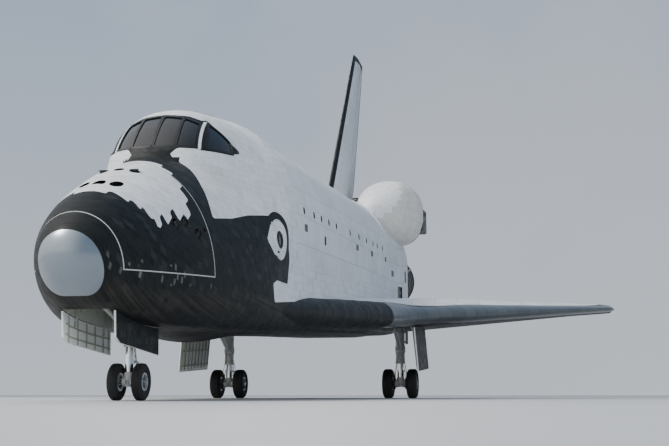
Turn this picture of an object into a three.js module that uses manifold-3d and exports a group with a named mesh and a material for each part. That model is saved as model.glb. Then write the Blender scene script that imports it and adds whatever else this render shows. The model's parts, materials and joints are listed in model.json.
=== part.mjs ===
// Space shuttle orbiter, full size, parked on its landing gear.
// Lengths below are inches in the orbiter's own structural frame:
//   X = station, growing aft; Y = left (port) positive; Z = up.
// They are turned into millimetres, +X forward, +Y left, +Z up, and the whole
// vehicle is pitched nose down by its parking attitude at the end.
import * as THREE from "three";
import { mergeVertices } from "three/addons/utils/BufferGeometryUtils.js";
import Module from "manifold-3d";

const wasm = await Module();
wasm.setup();

// ------------------------------------------------------------------ sizes
const IN = 25.4;                 // millimetres per inch
const STATION_0 = 1172;          // station of the main wheels, x = 0 before the final shift
const HEIGHT_0 = 173;            // height of the ground under the main wheels
const PARK_PITCH = THREE.MathUtils.degToRad(3.5);   // nose-down attitude on the gear
const GAP = 0.02;                // clearance between touching pieces (0.5 mm)

const CAP_JOINT = [[281, 270], [227.2, 400]];       // carbon nose cap joint, leaning forward, [X, z]
const CABIN_END = 582;           // crew section / payload bay joint
const BAY_END = 1307;            // payload bay / engine section joint
const BASE = 1512;               // rear face of the engine section
const BAY_AXIS_Z = 400;          // axis of the round payload bay
const BAY_R = 92;                // inside radius of the bay
const DOOR_OUT = 102, DOOR_IN = 95;   // payload bay door skin radii
const SILL_Z = 414;              // height of the door hinge line
const DOOR_HINGE_Y = 102.5;      // sideways place of the door hinge line

const HATCH = { X: 530, Z: 369, r: 20, gap: 0.35, depth: 4 };

const WING_HINGE_X = 1387;       // elevon hinge station
const WING_HINGE = (y) => 284 + 0.0612 * (y - 105);   // elevon hinge height
const DIHEDRAL = Math.atan(0.0612);
const ELEVON_R = (y) => 12 - 7 * (y - 115) / (436 - 115);   // hinge nose radius
const WING_TE = (y) => 1525.2 - 0.1773 * y;                 // trailing edge station
const ELEVON_GAP = 0.4;

const FIN_LE = [[1308, 502], [1597, 818.7]];
const FIN_TE = [[1549.4, 502], [1705, 818.7]];
const RUDDER_HINGE = [[1505, 600], [1644, 799]];

const NOSE_WHEEL = { X: 379, r: 16, w: 8.8, half: 11, hub: 8.2 };
const MAIN_WHEEL = { X: 1172, y: 136, r: 22.25, w: 16, half: 18.5, hub: 11 };

// ------------------------------------------------------------------ body tables
// columns: station X, belly z, flat belly half width, greatest half width,
//          top of the rounded chine z, top of the straight side z, crown z
const BODY = [
  [239.5, 334, 1.5, 8, 341, 341.6, 349],
  [244, 326, 3, 16.5, 341, 341.6, 357.5],
  [252, 317.5, 5, 25, 341, 341.6, 366.5],
  [264, 309, 8, 33.5, 340, 340.6, 376.5],
  [280, 301.5, 13, 42, 338, 338.6, 387],
  [300, 295.5, 21, 50.5, 335, 335.6, 397.5],
  [335, 289, 33, 62.5, 330, 330.6, 412],
  [378, 284.5, 46, 75, 326, 326.6, 427],
  [420, 282.5, 56, 84.5, 322, 324, 438],
  [446, 281.5, 62, 89.5, 320, 325, 445],
  [490, 280.5, 70, 96, 316, 335, 458],
  [535, 279.5, 78, 100, 312, 360, 482],
  [576, 279, 84, 102, 308, 396, 502],
  [582, 279, 84, 102, 306, 400, 502],
  [1040, 273, 84, 102, 300, 400, 502],
  [1307, 267.5, 86, 102, 297, 400, 502],
  [1387, 268.5, 90, 105, 299, 400, 502],
  [1512, 277.5, 92, 110, 307, 394, 495],
];
// cockpit roof: station X, half width, crown z (springs from z = 425)
const CANOPY_BASE = 425;
const CANOPY = [
  [426, 12, 441], [435, 34, 453], [446, 45, 466], [458, 53, 478], [472, 59, 488],
  [488, 64, 495], [512, 70, 499], [552, 82, 501.5], [582, 92, 502],
];
// wing sections: y, leading edge X, leading edge z, nose length, z at end of nose, X of the crest, crest z
const WING = [
  [86, 480, 303, 230, 318, 1120, 324],
  [112, 601.5, 300, 220, 317, 1120, 324],
  [135, 769.4, 296.7, 190, 316.5, 1120, 324],
  [157, 930, 293.5, 130, 315, 1125, 324],
  [167, 985, 293.5, 95, 314, 1130, 324],
  [180, 1018, 294.5, 80, 314, 1140, 324],
  [200, 1045, 296, 65, 314, 1150, 324],
  [230, 1066, 297.5, 52, 314, 1170, 323],
  [300, 1136, 300.5, 44, 313, 1235, 320],
  [400, 1236, 304.5, 34, 312, 1310, 316.5],
  [455, 1291, 306.5, 26, 311, 1345, 313.6],
  [466, 1310, 306.6, 20, 309.5, 1352, 311.6],
  [468, 1330, 306.4, 16, 308.6, 1358, 310],
];
// orbital engine pods: station X, centre y, centre z, half width, half height
const POD = [
  [1311, 66, 478, 4, 6], [1322, 68, 479, 16, 18], [1345, 73, 480, 30, 32],
  [1380, 79, 482, 42, 45], [1420, 83, 485, 49, 54], [1460, 86, 487, 53, 58],
  [1500, 88, 487, 54, 58], [1525, 88, 487, 50, 54], [1542, 88, 488, 42, 46],
];
// main engines: name, gimbal X, y, z, pitch up deg, yaw out deg
const MAIN_ENGINES = [
  ["main_engine_upper", 1445, 0, 443, 16, 0],
  ["main_engine_left", 1468.17, 53, 342.64, 10, 3.5],
  ["main_engine_right", 1468.17, -53, 342.64, 10, -3.5],
];

// ------------------------------------------------------------------ materials
const mat = (color, roughness, metalness) => new THREE.MeshStandardMaterial({ color, roughness, metalness });
const WHITE = mat(0xd9dbda, 0.75, 0), BLACK = mat(0x1d1f22, 0.6, 0), CARBON = mat(0x6f7478, 0.45, 0),
  CAP = mat(0xa9b4c0, 0.3, 0), GLASS = mat(0x0b0d10, 0.08, 0), METAL = mat(0x8f8d88, 0.4, 0.9),
  ENGINE = mat(0x5b5149, 0.45, 0.85), RUBBER = mat(0x16161a, 0.85, 0), GEAR = mat(0xb9bcbc, 0.45, 0.6),
  INNER = mat(0x8c8f8a, 0.8, 0), LINER = mat(0xb8b9ae, 0.8, 0), SEAT = mat(0x4a4f55, 0.9, 0);

// ------------------------------------------------------------------ helpers
const P = (X, Y, Z) => [(STATION_0 - X) * IN, Y * IN, (Z - HEIGHT_0) * IN];
const lerp = (a, b, t) => a + (b - a) * t;

// a closed mesh of plain triangles, faces out
function toSolid(geometry) {
  let g = geometry.clone();
  g.deleteAttribute("normal");
  g.deleteAttribute("uv");
  g = mergeVertices(g, 1e-3);
  const pos = g.getAttribute("position").array;
  const idx = Array.from(g.getIndex().array);
  const tri = [];
  let volume = 0;
  for (let i = 0; i < idx.length; i += 3) {
    const [a, b, c] = [idx[i], idx[i + 1], idx[i + 2]];
    if (a === b || b === c || a === c) continue;
    tri.push(a, b, c);
    const [ax, ay, az] = [pos[3 * a], pos[3 * a + 1], pos[3 * a + 2]];
    const [bx, by, bz] = [pos[3 * b], pos[3 * b + 1], pos[3 * b + 2]];
    const [cx, cy, cz] = [pos[3 * c], pos[3 * c + 1], pos[3 * c + 2]];
    volume += ax * (by * cz - bz * cy) - ay * (bx * cz - bz * cx) + az * (bx * cy - by * cx);
  }
  if (volume < 0) for (let i = 0; i < tri.length; i += 3) [tri[i + 1], tri[i + 2]] = [tri[i + 2], tri[i + 1]];
  return new wasm.Manifold(new wasm.Mesh({
    numProp: 3, vertProperties: new Float32Array(pos), triVerts: new Uint32Array(tri),
  }));
}
function toGeometry(solid) {
  const m = solid.getMesh();
  const g = new THREE.BufferGeometry();
  const pos = new Float32Array((m.vertProperties.length / m.numProp) * 3);
  for (let i = 0; i < pos.length / 3; i++)
    for (let k = 0; k < 3; k++) pos[3 * i + k] = m.vertProperties[m.numProp * i + k];
  g.setAttribute("position", new THREE.BufferAttribute(pos, 3));
  g.setIndex(Array.from(m.triVerts));
  g.computeVertexNormals();
  return g;
}
// skin over matching closed sections, each a list of [x, y, z] in millimetres
function loft(rings) {
  const n = rings[0].length, pos = [], idx = [];
  for (const ring of rings) for (const p of ring) pos.push(...p);
  for (let r = 0; r + 1 < rings.length; r++)
    for (let i = 0; i < n; i++) {
      const a = r * n + i, b = r * n + (i + 1) % n, c = a + n, d = b + n;
      idx.push(a, b, d, a, d, c);
    }
  for (const [ring, first, flip] of [[rings[0], 0, true], [rings[rings.length - 1], (rings.length - 1) * n, false]]) {
    const normal = [0, 0, 0];
    ring.forEach((p, i) => {
      const q = ring[(i + 1) % n];
      for (let k = 0; k < 3; k++) normal[k] += (p[(k + 1) % 3] - q[(k + 1) % 3]) * (p[(k + 2) % 3] + q[(k + 2) % 3]);
    });
    const size = normal.map(Math.abs), drop = size.indexOf(Math.max(...size));
    const axes = [[1, 2], [0, 2], [0, 1]][drop];
    const contour = ring.map((p) => new THREE.Vector2(p[axes[0]], p[axes[1]]));
    const area = THREE.ShapeUtils.area(contour);
    const faces = THREE.ShapeUtils.triangulateShape(contour, []);
    // wind each end so that it matches the skin next to it
    for (const f of faces) {
      const cw = area < 0;
      const t = cw ? f : [f[0], f[1], f[2]];
      const tri = t.map((k) => first + k);
      const q = t.map((k) => contour[k]);
      const s = (q[1].x - q[0].x) * (q[2].y - q[0].y) - (q[2].x - q[0].x) * (q[1].y - q[0].y);
      const along = (s > 0) === (area > 0);       // same turning as the ring
      const keep = flip ? !along : along;
      idx.push(...(keep ? tri : [tri[0], tri[2], tri[1]]));
    }
  }
  const g = new THREE.BufferGeometry();
  g.setAttribute("position", new THREE.BufferAttribute(new Float32Array(pos), 3));
  g.setIndex(idx);
  return toSolid(g);
}
const box = (x0, x1, y0, y1, z0, z1) => {
  const g = new THREE.BoxGeometry((x1 - x0) * IN, (y1 - y0) * IN, (z1 - z0) * IN);
  const c = P((x0 + x1) / 2, (y0 + y1) / 2, (z0 + z1) / 2);
  g.translate(...c);
  return toSolid(g);
};
// prisms: outline in (X, Z) pushed along Y, in (X, Y) along Z, in (Y, Z) along X
const prismY = (pts, y0, y1) => loft([pts.map(([x, z]) => P(x, y0, z)), pts.map(([x, z]) => P(x, y1, z))]);
const prismZ = (pts, z0, z1) => loft([pts.map(([x, y]) => P(x, y, z0)), pts.map(([x, y]) => P(x, y, z1))]);
const prismX = (pts, x0, x1) => loft([pts.map(([y, z]) => P(x0, y, z)), pts.map(([y, z]) => P(x1, y, z))]);
// round bar or cone between two points given in [X, Y, Z]
function bar(a, b, ra, rb = ra, segments = 12) {
  const A = new THREE.Vector3(...P(...a)), B = new THREE.Vector3(...P(...b));
  const g = new THREE.CylinderGeometry(rb * IN, ra * IN, A.distanceTo(B), segments);
  const q = new THREE.Quaternion().setFromUnitVectors(new THREE.Vector3(0, 1, 0), B.clone().sub(A).normalize());
  g.applyQuaternion(q);
  g.translate((A.x + B.x) / 2, (A.y + B.y) / 2, (A.z + B.z) / 2);
  return toSolid(g);
}
const union = (list) => list.reduce((a, b) => a.add(b));
// move every edge of an outline inwards by g
function inset(pts, g) {
  const turn = Math.sign(THREE.ShapeUtils.area(pts.map((p) => new THREE.Vector2(...p)))), n = pts.length;
  return pts.map((p, i) => {
    const a = pts[(i + n - 1) % n], b = pts[(i + 1) % n];
    const u = new THREE.Vector2(p[0] - a[0], p[1] - a[1]).normalize(), v = new THREE.Vector2(b[0] - p[0], b[1] - p[1]).normalize();
    const nu = [-u.y * turn, u.x * turn], nv = [-v.y * turn, v.x * turn], k = g / (1 + nu[0] * nv[0] + nu[1] * nv[1]);
    return [p[0] + (nu[0] + nv[0]) * k, p[1] + (nu[1] + nv[1]) * k];
  });
}

const group = new THREE.Group();
const craft = new THREE.Group();      // everything in the orbiter's own frame
group.add(craft);
const put = (name, solid, material, parent = craft) => {
  const m = new THREE.Mesh(toGeometry(solid), material);
  m.name = name;
  parent.add(m);
  return m;
};

// ------------------------------------------------------------------ fuselage
const CHINE_STEPS = 4, CROWN_STEPS = 8;
function bodyRow(X) {
  let i = 0;
  while (i < BODY.length - 2 && BODY[i + 1][0] < X) i++;
  const t = (X - BODY[i][0]) / (BODY[i + 1][0] - BODY[i][0]);
  return BODY[i].map((v, k) => (k ? lerp(v, BODY[i + 1][k], t) : X));
}
// section of lines and arcs; grow > 0 makes it larger on every side
function bodyRing([X, zb, wb, w, zc, zs, zt], grow = 0) {
  const half = [];
  for (let i = 0; i <= CHINE_STEPS; i++) {
    const a = (i / CHINE_STEPS) * Math.PI / 2;
    half.push([wb + (w + grow - wb) * Math.sin(a), zc - (zc - zb + grow) * Math.cos(a)]);
  }
  for (let i = 0; i < CROWN_STEPS; i++) {
    const a = (i / CROWN_STEPS) * Math.PI / 2;
    half.push([(w + grow) * Math.cos(a), zs + (zt + grow - zs) * Math.sin(a)]);
  }
  const left = half.map(([y, z]) => P(X, y, z));
  const right = half.map(([y, z]) => P(X, -y, z)).reverse();
  return [...left, P(X, 0, zt + grow), ...right];
}
function body(x0, x1, grow = 0) {
  const inner = BODY.filter((r) => r[0] > x0 + 0.5 && r[0] < x1 - 0.5);
  return loft([bodyRow(x0), ...inner, bodyRow(x1)].map((r) => bodyRing(r, grow)));
}
function canopyRing([X, w, zt], grow = 0) {
  const pts = [], n = 10, power = 2 / 2.2;
  for (let i = 0; i <= n; i++) {
    const a = (i / n) * Math.PI;
    const c = Math.cos(a), s = Math.sin(a);
    pts.push(P(X, (w + grow) * Math.sign(c) * Math.abs(c) ** power, CANOPY_BASE + (zt + grow - CANOPY_BASE) * Math.abs(s) ** power));
  }
  pts.push(P(X, -(w + grow), CANOPY_BASE - 30), P(X, w + grow, CANOPY_BASE - 30));
  return pts;
}
const canopy = (x1, grow = 0, shift = 0) => {
  const last = CANOPY.filter((r) => r[0] < x1 - 0.5);
  const end = (() => {
    const i = CANOPY.findIndex((r) => r[0] >= x1), a = CANOPY[i - 1], b = CANOPY[i], t = (x1 - a[0]) / (b[0] - a[0]);
    return [x1, lerp(a[1], b[1], t), lerp(a[2], b[2], t)];
  })();
  return loft([...last.map((r) => [r[0] + shift, r[1], r[2]]), end].map((r) => canopyRing(r, grow)));
};

const aheadOf = (g) => prismY([[215, 270], [CAP_JOINT[0][0] + g, 270], [CAP_JOINT[1][0] + g, 400], [215, 400]], -70, 70);
put("nose_cap", body(239.5, 290).intersect(aheadOf(-GAP)), CAP);

// window outlines; front ones are seen along X, side ones along Y, roof ones along Z
const FRONT_WINDOWS = [
  // name, rearmost station, outline [y, z]
  ["windscreen_centre", 474, [[2, 452], [20, 452], [18.5, 483], [2, 485]]],
  ["windscreen_middle", 478, [[23, 452], [38, 452], [34.5, 477], [21.5, 482.5]]],
];
const SIDE_WINDOW = [[455, 451], [490, 451], [493, 461], [479, 477]];      // [X, z]
const ROOF_WINDOW = [[515, 8], [545, 8], [545, 29], [515, 27]];            // [X, y]
const grown = (pts, g) => {           // push an outline out from its own middle
  const c = pts.reduce((s, p) => [s[0] + p[0] / pts.length, s[1] + p[1] / pts.length], [0, 0]);
  return pts.map(([a, b]) => [a + Math.sign(a - c[0]) * g, b + Math.sign(b - c[1]) * g]);
};
const flipY = (pts) => pts.map(([y, z]) => [-y, z]);
const openings = [], panes = [];
const paneShell = canopy(582, -1.0).subtract(canopy(582, -2.4, 1.6));
for (const [side, s] of [["left", 1], ["right", -1]]) {
  const turn = (pts) => (s > 0 ? pts : flipY(pts));
  for (const [name, rear, outline] of FRONT_WINDOWS) {
    openings.push(prismX(turn(grown(outline, 0.3)), 422, rear + 0.3));
    panes.push([`${name}_${side}`, prismX(turn(outline), 422, rear).intersect(paneShell)]);
  }
  const [a, b] = s > 0 ? [34, 80] : [-80, -34];
  openings.push(prismY(inset(SIDE_WINDOW, -0.3), a, b));
  panes.push([`windscreen_side_${side}`, prismY(SIDE_WINDOW, a, b).intersect(paneShell)]);
  const roof = ROOF_WINDOW.map(([x, y]) => [x, s * y]);
  openings.push(prismZ(grown(roof, 0.3), 470, 510));
  panes.push([`overhead_window_${side}`, prismZ(roof, 470, 510).intersect(paneShell)]);
}
for (const [name, solid] of panes) put(name, solid, GLASS);

const CABIN = { x0: 404, x1: 568, floor: 305, wall: 7, deckZ: 415 };
const cabinSpace = (inset) => body(CABIN.x0 + inset, CABIN.x1 - inset, -CABIN.wall - inset)
  .add(canopy(CABIN.x1 - inset, -CABIN.wall - inset, 9))
  .intersect(box(CABIN.x0 + inset, CABIN.x1 - inset, -120, 120, CABIN.floor + inset, 520));
const hatchCutter = (r) => bar([HATCH.X, 80, HATCH.Z], [HATCH.X, 110, HATCH.Z], r - 4, r + 2, 20);   // tapered, r at the skin
const MODULE = [[271, 328], [383, 326], [383, 470], [234, 470]];       // forward thruster module, [X, z]
const wellCover = (g) => box(262 - g, 396 + g, -27 - g, 27 + g, 300, 334 + g);   // fuselage left over the nose wheel well
const NOSE_WELL = { x0: 288, x1: 392, y: 21, roof: 328 };
const shellFront = body(241, CABIN_END - GAP).subtract(aheadOf(GAP)).add(canopy(CABIN_END - GAP));
put("forward_thruster_module", body(248, 390).intersect(prismY(inset(MODULE, GAP), -120, 120)).subtract(wellCover(GAP)), WHITE);
put("forward_fuselage", shellFront
  .subtract(prismY(MODULE, -120, 120).subtract(wellCover(0)))
  .subtract(box(NOSE_WELL.x0, NOSE_WELL.x1, -NOSE_WELL.y, NOSE_WELL.y, 250, NOSE_WELL.roof))
  .subtract(cabinSpace(0))
  .subtract(hatchCutter(HATCH.r + HATCH.gap))
  .subtract(union(openings)), WHITE);

// side hatch, with its round window
const hatchSkin = body(HATCH.X - 40, HATCH.X + 40).subtract(body(HATCH.X - 45, HATCH.X + 45, -HATCH.depth));
const WINDOW_R = 5.5;
put("side_hatch", hatchCutter(HATCH.r).intersect(hatchSkin)
  .subtract(bar([HATCH.X, 80, HATCH.Z], [HATCH.X, 110, HATCH.Z], WINDOW_R + GAP, WINDOW_R + GAP, 12)), WHITE);
put("hatch_window", bar([HATCH.X, 80, HATCH.Z], [HATCH.X, 110, HATCH.Z], WINDOW_R, WINDOW_R, 12)
  .intersect(body(HATCH.X - 40, HATCH.X + 40, -0.6).subtract(body(HATCH.X - 45, HATCH.X + 45, -2))), GLASS);

// flight deck: floor with the instrument console, and two seats on it
const inCabin = cabinSpace(GAP);
put("flight_deck", box(440, 562, -90, 90, CABIN.deckZ - 3, CABIN.deckZ)
  .add(prismY([[462, 410], [476, 410], [476, 446], [468, 449], [462, 440]], -44, 44))
  .add(box(470, 508, -8, 8, CABIN.deckZ - 1, CABIN.deckZ + 17)).intersect(inCabin), INNER);
for (const [side, s] of [["left", 1], ["right", -1]]) {
  const seat = prismY([[512, 415 + GAP], [520, 415 + GAP], [520, 428], [530, 428], [534, 468], [530, 468],
    [526, 433], [504, 434], [503, 429], [512, 428]], 0, 18);
  const m = put(`crew_seat_${side}`, seat, SEAT);
  m.position.y = (s > 0 ? 13 : -31) * IN;
}

// payload bay section: deep open trough between two frames
const bayVoid = bar([CABIN_END - 5, 0, BAY_AXIS_Z], [BAY_END - 5, 0, BAY_AXIS_Z], BAY_R, BAY_R, 32)
  .add(box(CABIN_END - 5, BAY_END - 5, -BAY_R, BAY_R, BAY_AXIS_Z, 530));
put("mid_fuselage", body(CABIN_END + GAP, BAY_END - GAP)
  .subtract(bayVoid)
  .subtract(box(CABIN_END - 5, BAY_END - 5, -120, 120, SILL_Z, 530))
  .subtract(box(BAY_END - 6, BAY_END + 5, -120, 120, SILL_Z, 530).subtract(
    bar([BAY_END - 7, 0, BAY_AXIS_Z], [BAY_END + 6, 0, BAY_AXIS_Z], DOOR_IN - 0.5, DOOR_IN - 0.5, 32))), WHITE);

for (const [side, s] of [["left", 1], ["right", -1]]) {
  const outline = [], n = 9;
  const a0 = Math.asin((SILL_Z + 0.5 - BAY_AXIS_Z) / DOOR_OUT), a1 = Math.PI / 2 - 0.5 / DOOR_OUT;
  const b0 = Math.asin((SILL_Z + 0.5 - BAY_AXIS_Z) / DOOR_IN), b1 = Math.PI / 2 - 0.5 / DOOR_IN;
  for (let i = 0; i <= n; i++) outline.push([s * DOOR_OUT * Math.cos(lerp(a0, a1, i / n)), BAY_AXIS_Z + DOOR_OUT * Math.sin(lerp(a0, a1, i / n))]);
  for (let i = n; i >= 0; i--) outline.push([s * DOOR_IN * Math.cos(lerp(b0, b1, i / n)), BAY_AXIS_Z + DOOR_IN * Math.sin(lerp(b0, b1, i / n))]);
  put(`payload_bay_door_${side}`, prismX(outline, CABIN_END + 0.5, BAY_END - 0.5), WHITE);
}

// engine section: closed front, hollow, three engine openings in its rear face
const dir = (pitch, yaw) => {          // aft, tilted up and outward, in [X, Y, Z]
  const p = THREE.MathUtils.degToRad(pitch), q = THREE.MathUtils.degToRad(yaw);
  return [Math.cos(p) * Math.cos(q), Math.cos(p) * Math.sin(q), Math.sin(p)];
};
const along = (o, d, s) => [o[0] + d[0] * s, o[1] + d[1] * s, o[2] + d[2] * s];
const ENGINE_HOLE_R = 38;
const engineHoles = MAIN_ENGINES.map(([, X, y, z, p, q]) =>
  bar(along([X, y, z], dir(p, q), 22), along([X, y, z], dir(p, q), 110), ENGINE_HOLE_R, ENGINE_HOLE_R, 16));
put("aft_fuselage", body(BAY_END + GAP, BASE)
  .subtract(body(BAY_END + 12, BASE - 12, -12))
  .subtract(union(engineHoles)), WHITE);

// ------------------------------------------------------------------ main engines
function bell(o, d, s0, s1, r0, r1, wall, segments = 18) {
  // hollow bell: outer and inner curve of a nozzle, closed at its throat
  const prof = [], n = 5;
  for (let i = 0; i <= n; i++) { const t = i / n; prof.push([r0 + (r1 - r0) * Math.sin(t * Math.PI / 2) ** 0.8 , lerp(s0, s1, t)]); }
  const pts = [new THREE.Vector2(0, s0 * IN), ...prof.map(([r, s]) => new THREE.Vector2(r * IN, s * IN))];
  for (let i = n; i >= 1; i--) pts.push(new THREE.Vector2(Math.max(prof[i][0] - wall, 2) * IN, prof[i][1] * IN));
  pts.push(new THREE.Vector2(3 * IN, lerp(s0, s1, 0.08) * IN), new THREE.Vector2(0, lerp(s0, s1, 0.08) * IN));
  const g = new THREE.LatheGeometry(pts, segments);
  const D = new THREE.Vector3(-d[0], d[1], d[2]);
  g.applyQuaternion(new THREE.Quaternion().setFromUnitVectors(new THREE.Vector3(0, 1, 0), D.normalize()));
  g.translate(...P(...o));
  return toSolid(g);
}
for (const [name, X, y, z, p, q] of MAIN_ENGINES) {
  const o = [X, y, z], d = dir(p, q);
  put(name, bell(o, d, 46, 157, 15, 47, 2.2)
    .add(bar(along(o, d, 2), along(o, d, 50), 24, 28, 14)), ENGINE);
}

// ------------------------------------------------------------------ wings
const wingLow = (X, y) => 282 - (X - 582) * 0.0124 + 0.083 * Math.max(y - 105, 0);
function wingRing([y, xle, zle, nose, zn, xm, zm], s) {
  const zh = WING_HINGE(y), r = ELEVON_R(Math.max(115, Math.min(y, 468))), te = WING_TE(y);
  const up = [], low = [];
  for (const t of [0.06, 0.25, 0.55, 1]) {
    const f = Math.sqrt(1 - (1 - t) ** 2);
    up.push([xle + nose * t, zle + (zn - zle) * f]);
    low.push([xle + nose * t, zle + (wingLow(xle + nose * t, y) - zle) * f]);
  }
  const xf = lerp(xle + nose, xm, 0.5);
  up.push([xf, lerp(zn, zm, 0.75)], [xm, zm], [lerp(xm, WING_HINGE_X, 0.55), lerp(zm, zh + r, 0.42)], [WING_HINGE_X, zh + r], [te, zh - 4.2]);
  low.push([xf, wingLow(xf, y)], [xm, wingLow(xm, y)], [WING_HINGE_X, zh - r], [te, zh - 5.4]);
  return [[xle, zle], ...up, ...low.reverse()].map(([X, z]) => P(X, s * y, z));
}
const LE_STRIP = [[930, 175], [980, 200], [1030, 240], [1270, 485], [1362, 492], [1346, 458], [1312, 444],
  [1083, 216], [1060, 190], [1034, 167], [1002, 149], [944, 139]];
const MAIN_WELL = { x0: 1045, x1: 1191, y0: 106, y1: 170, roof: 308 };
// elevon section around the hinge: round nose, straight wedge to the trailing edge, in (aft, up)
function wedge(R, chord, turn, thin) {
  const pts = [], drop = 4.8, n = 10;
  const up = Math.atan2(R + drop - thin, chord), down = Math.atan2(R - drop - thin, chord);
  for (let i = 0; i <= n; i++) {
    const a = lerp(Math.PI / 2 - up, 1.5 * Math.PI + down, i / n);
    pts.push([R * Math.cos(a), R * Math.sin(a)]);
  }
  pts.push([chord, -drop - thin], [chord, -drop + thin]);
  const c = Math.cos(turn), q = Math.sin(turn);
  return pts.map(([a, b]) => [a * c - b * q, a * q + b * c]);
}
const onHinge = (s, y) => (y - 105) / Math.cos(DIHEDRAL);
// place a section at distance v along the hinge; side s = +1 left, -1 right
const hingeRing = (pts, v, s) => pts.map(([a, b]) => P(WING_HINGE_X + a,
  s * (105 + v * Math.cos(DIHEDRAL) - b * Math.sin(DIHEDRAL)), 284 + v * Math.sin(DIHEDRAL) + b * Math.cos(DIHEDRAL)));
const chordAt = (y) => WING_TE(y) - WING_HINGE_X;
function elevon(y0, y1, s, grow = 0, turn = 0, ends = 0) {
  return loft([y0 - ends, y1 + ends].map((y) => hingeRing(
    wedge(ELEVON_R(y) + grow, chordAt(y) + grow * 2, turn, 0.6 + grow), onHinge(s, y), s)));
}
const ELEVONS = [["inboard", 116, 312], ["outboard", 313, 436]];
const UP = THREE.MathUtils.degToRad(35), DOWN = THREE.MathUtils.degToRad(-20);
const fuselageGrown = body(300, BASE + 0.3, GAP);
for (const [side, s] of [["left", 1], ["right", -1]]) {
  const whole = loft(WING.map((row) => wingRing(row, s)));
  const bay = union([
    elevon(115.5, 436.6, s, ELEVON_GAP), elevon(115.5, 436.6, s, ELEVON_GAP, UP), elevon(115.5, 436.6, s, ELEVON_GAP, DOWN),
    loft([115.5, 436.6].map((y) => hingeRing([[0, -70], [260, -70], [260, 70], [0, 70]], onHinge(s, y), s))),
  ]);
  const well = s > 0 ? box(MAIN_WELL.x0, MAIN_WELL.x1, MAIN_WELL.y0, MAIN_WELL.y1, 240, MAIN_WELL.roof)
    : box(MAIN_WELL.x0, MAIN_WELL.x1, -MAIN_WELL.y1, -MAIN_WELL.y0, 240, MAIN_WELL.roof);
  const strip = LE_STRIP.map(([x, y]) => [x, s * y]);
  const stripIn = inset(strip, GAP);
  put(`wing_${side}`, whole.subtract(fuselageGrown).subtract(bay).subtract(well)
    .subtract(prismZ(strip, 200, 400)), BLACK);
  put(`leading_edge_${side}`, whole.intersect(prismZ(stripIn, 200, 400)), CARBON);
  for (const [name, y0, y1] of ELEVONS) put(`elevon_${name}_${side}`, elevon(y0, y1, s), BLACK);
}

// ------------------------------------------------------------------ body flap
const FLAP = { X: 1522.6, z: 288, r: 9.5, half: 124, chord: 90 };
{
  const pts = [], n = 8;
  for (let i = 0; i <= n; i++) { const a = lerp(Math.PI / 2 - 0.06, 1.5 * Math.PI + 0.02, i / n); pts.push([FLAP.X + FLAP.r * Math.cos(a), FLAP.z + FLAP.r * Math.sin(a)]); }
  pts.push([FLAP.X + FLAP.chord, FLAP.z - 8], [FLAP.X + FLAP.chord, FLAP.z - 2]);
  put("body_flap", prismY(pts, -FLAP.half, FLAP.half), BLACK);
}

// ------------------------------------------------------------------ fin and rudder
// columns: height z, half thickness of the section at its thickest (40 % chord), at the hinge line
const FIN_ROWS = [[480, 14, 9.4], [600, 12, 9.2], [799, 7.5, 6], [818.7, 3.2, 2.6]];
const onLine = ([[x0, z0], [x1, z1]], z) => x0 + (x1 - x0) * (z - z0) / (z1 - z0);
function finRing([z, th, tq]) {
  const a = onLine(FIN_LE, z), b = onLine(FIN_TE, z), c = b - a, h = Math.min(onLine(RUDDER_HINGE, z), a + 0.9 * c);
  const half = [[a, 0], [a + 0.02 * c, 0.25 * th], [a + 0.1 * c, 0.55 * th], [a + 0.25 * c, 0.88 * th], [a + 0.42 * c, th], [Math.max(h, a + 0.5 * c), tq], [b, 0.8]];
  return [...half.map(([x, y]) => P(x, y, z)), ...half.slice(1).reverse().map(([x, y]) => P(x, -y, z))];
}
// frame along the rudder hinge: u up the hinge, v aft and square to it
const H0 = RUDDER_HINGE[0], HU = new THREE.Vector2(RUDDER_HINGE[1][0] - H0[0], RUDDER_HINGE[1][1] - H0[1]);
const HINGE_LEN = HU.length();
HU.normalize();
const onRudder = (u, v, y) => P(H0[0] + HU.x * u + HU.y * v, y, H0[1] + HU.y * u - HU.x * v);
const RUDDER = { tube: [6.8, 4.0], skin: [8.6, 5.6], chord: [84, 46.8], gap: 0.5 };
const finBay = loft([[-0.6, 0], [HINGE_LEN + 0.6, 1]].map(([u, t]) => {
  const f = -(lerp(RUDDER.skin[0], RUDDER.skin[1], t) + 0.7);
  return [[f, -30], [f, 30], [140, 30], [140, -30]].map(([v, y]) => onRudder(u, v, y));
}));
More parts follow.
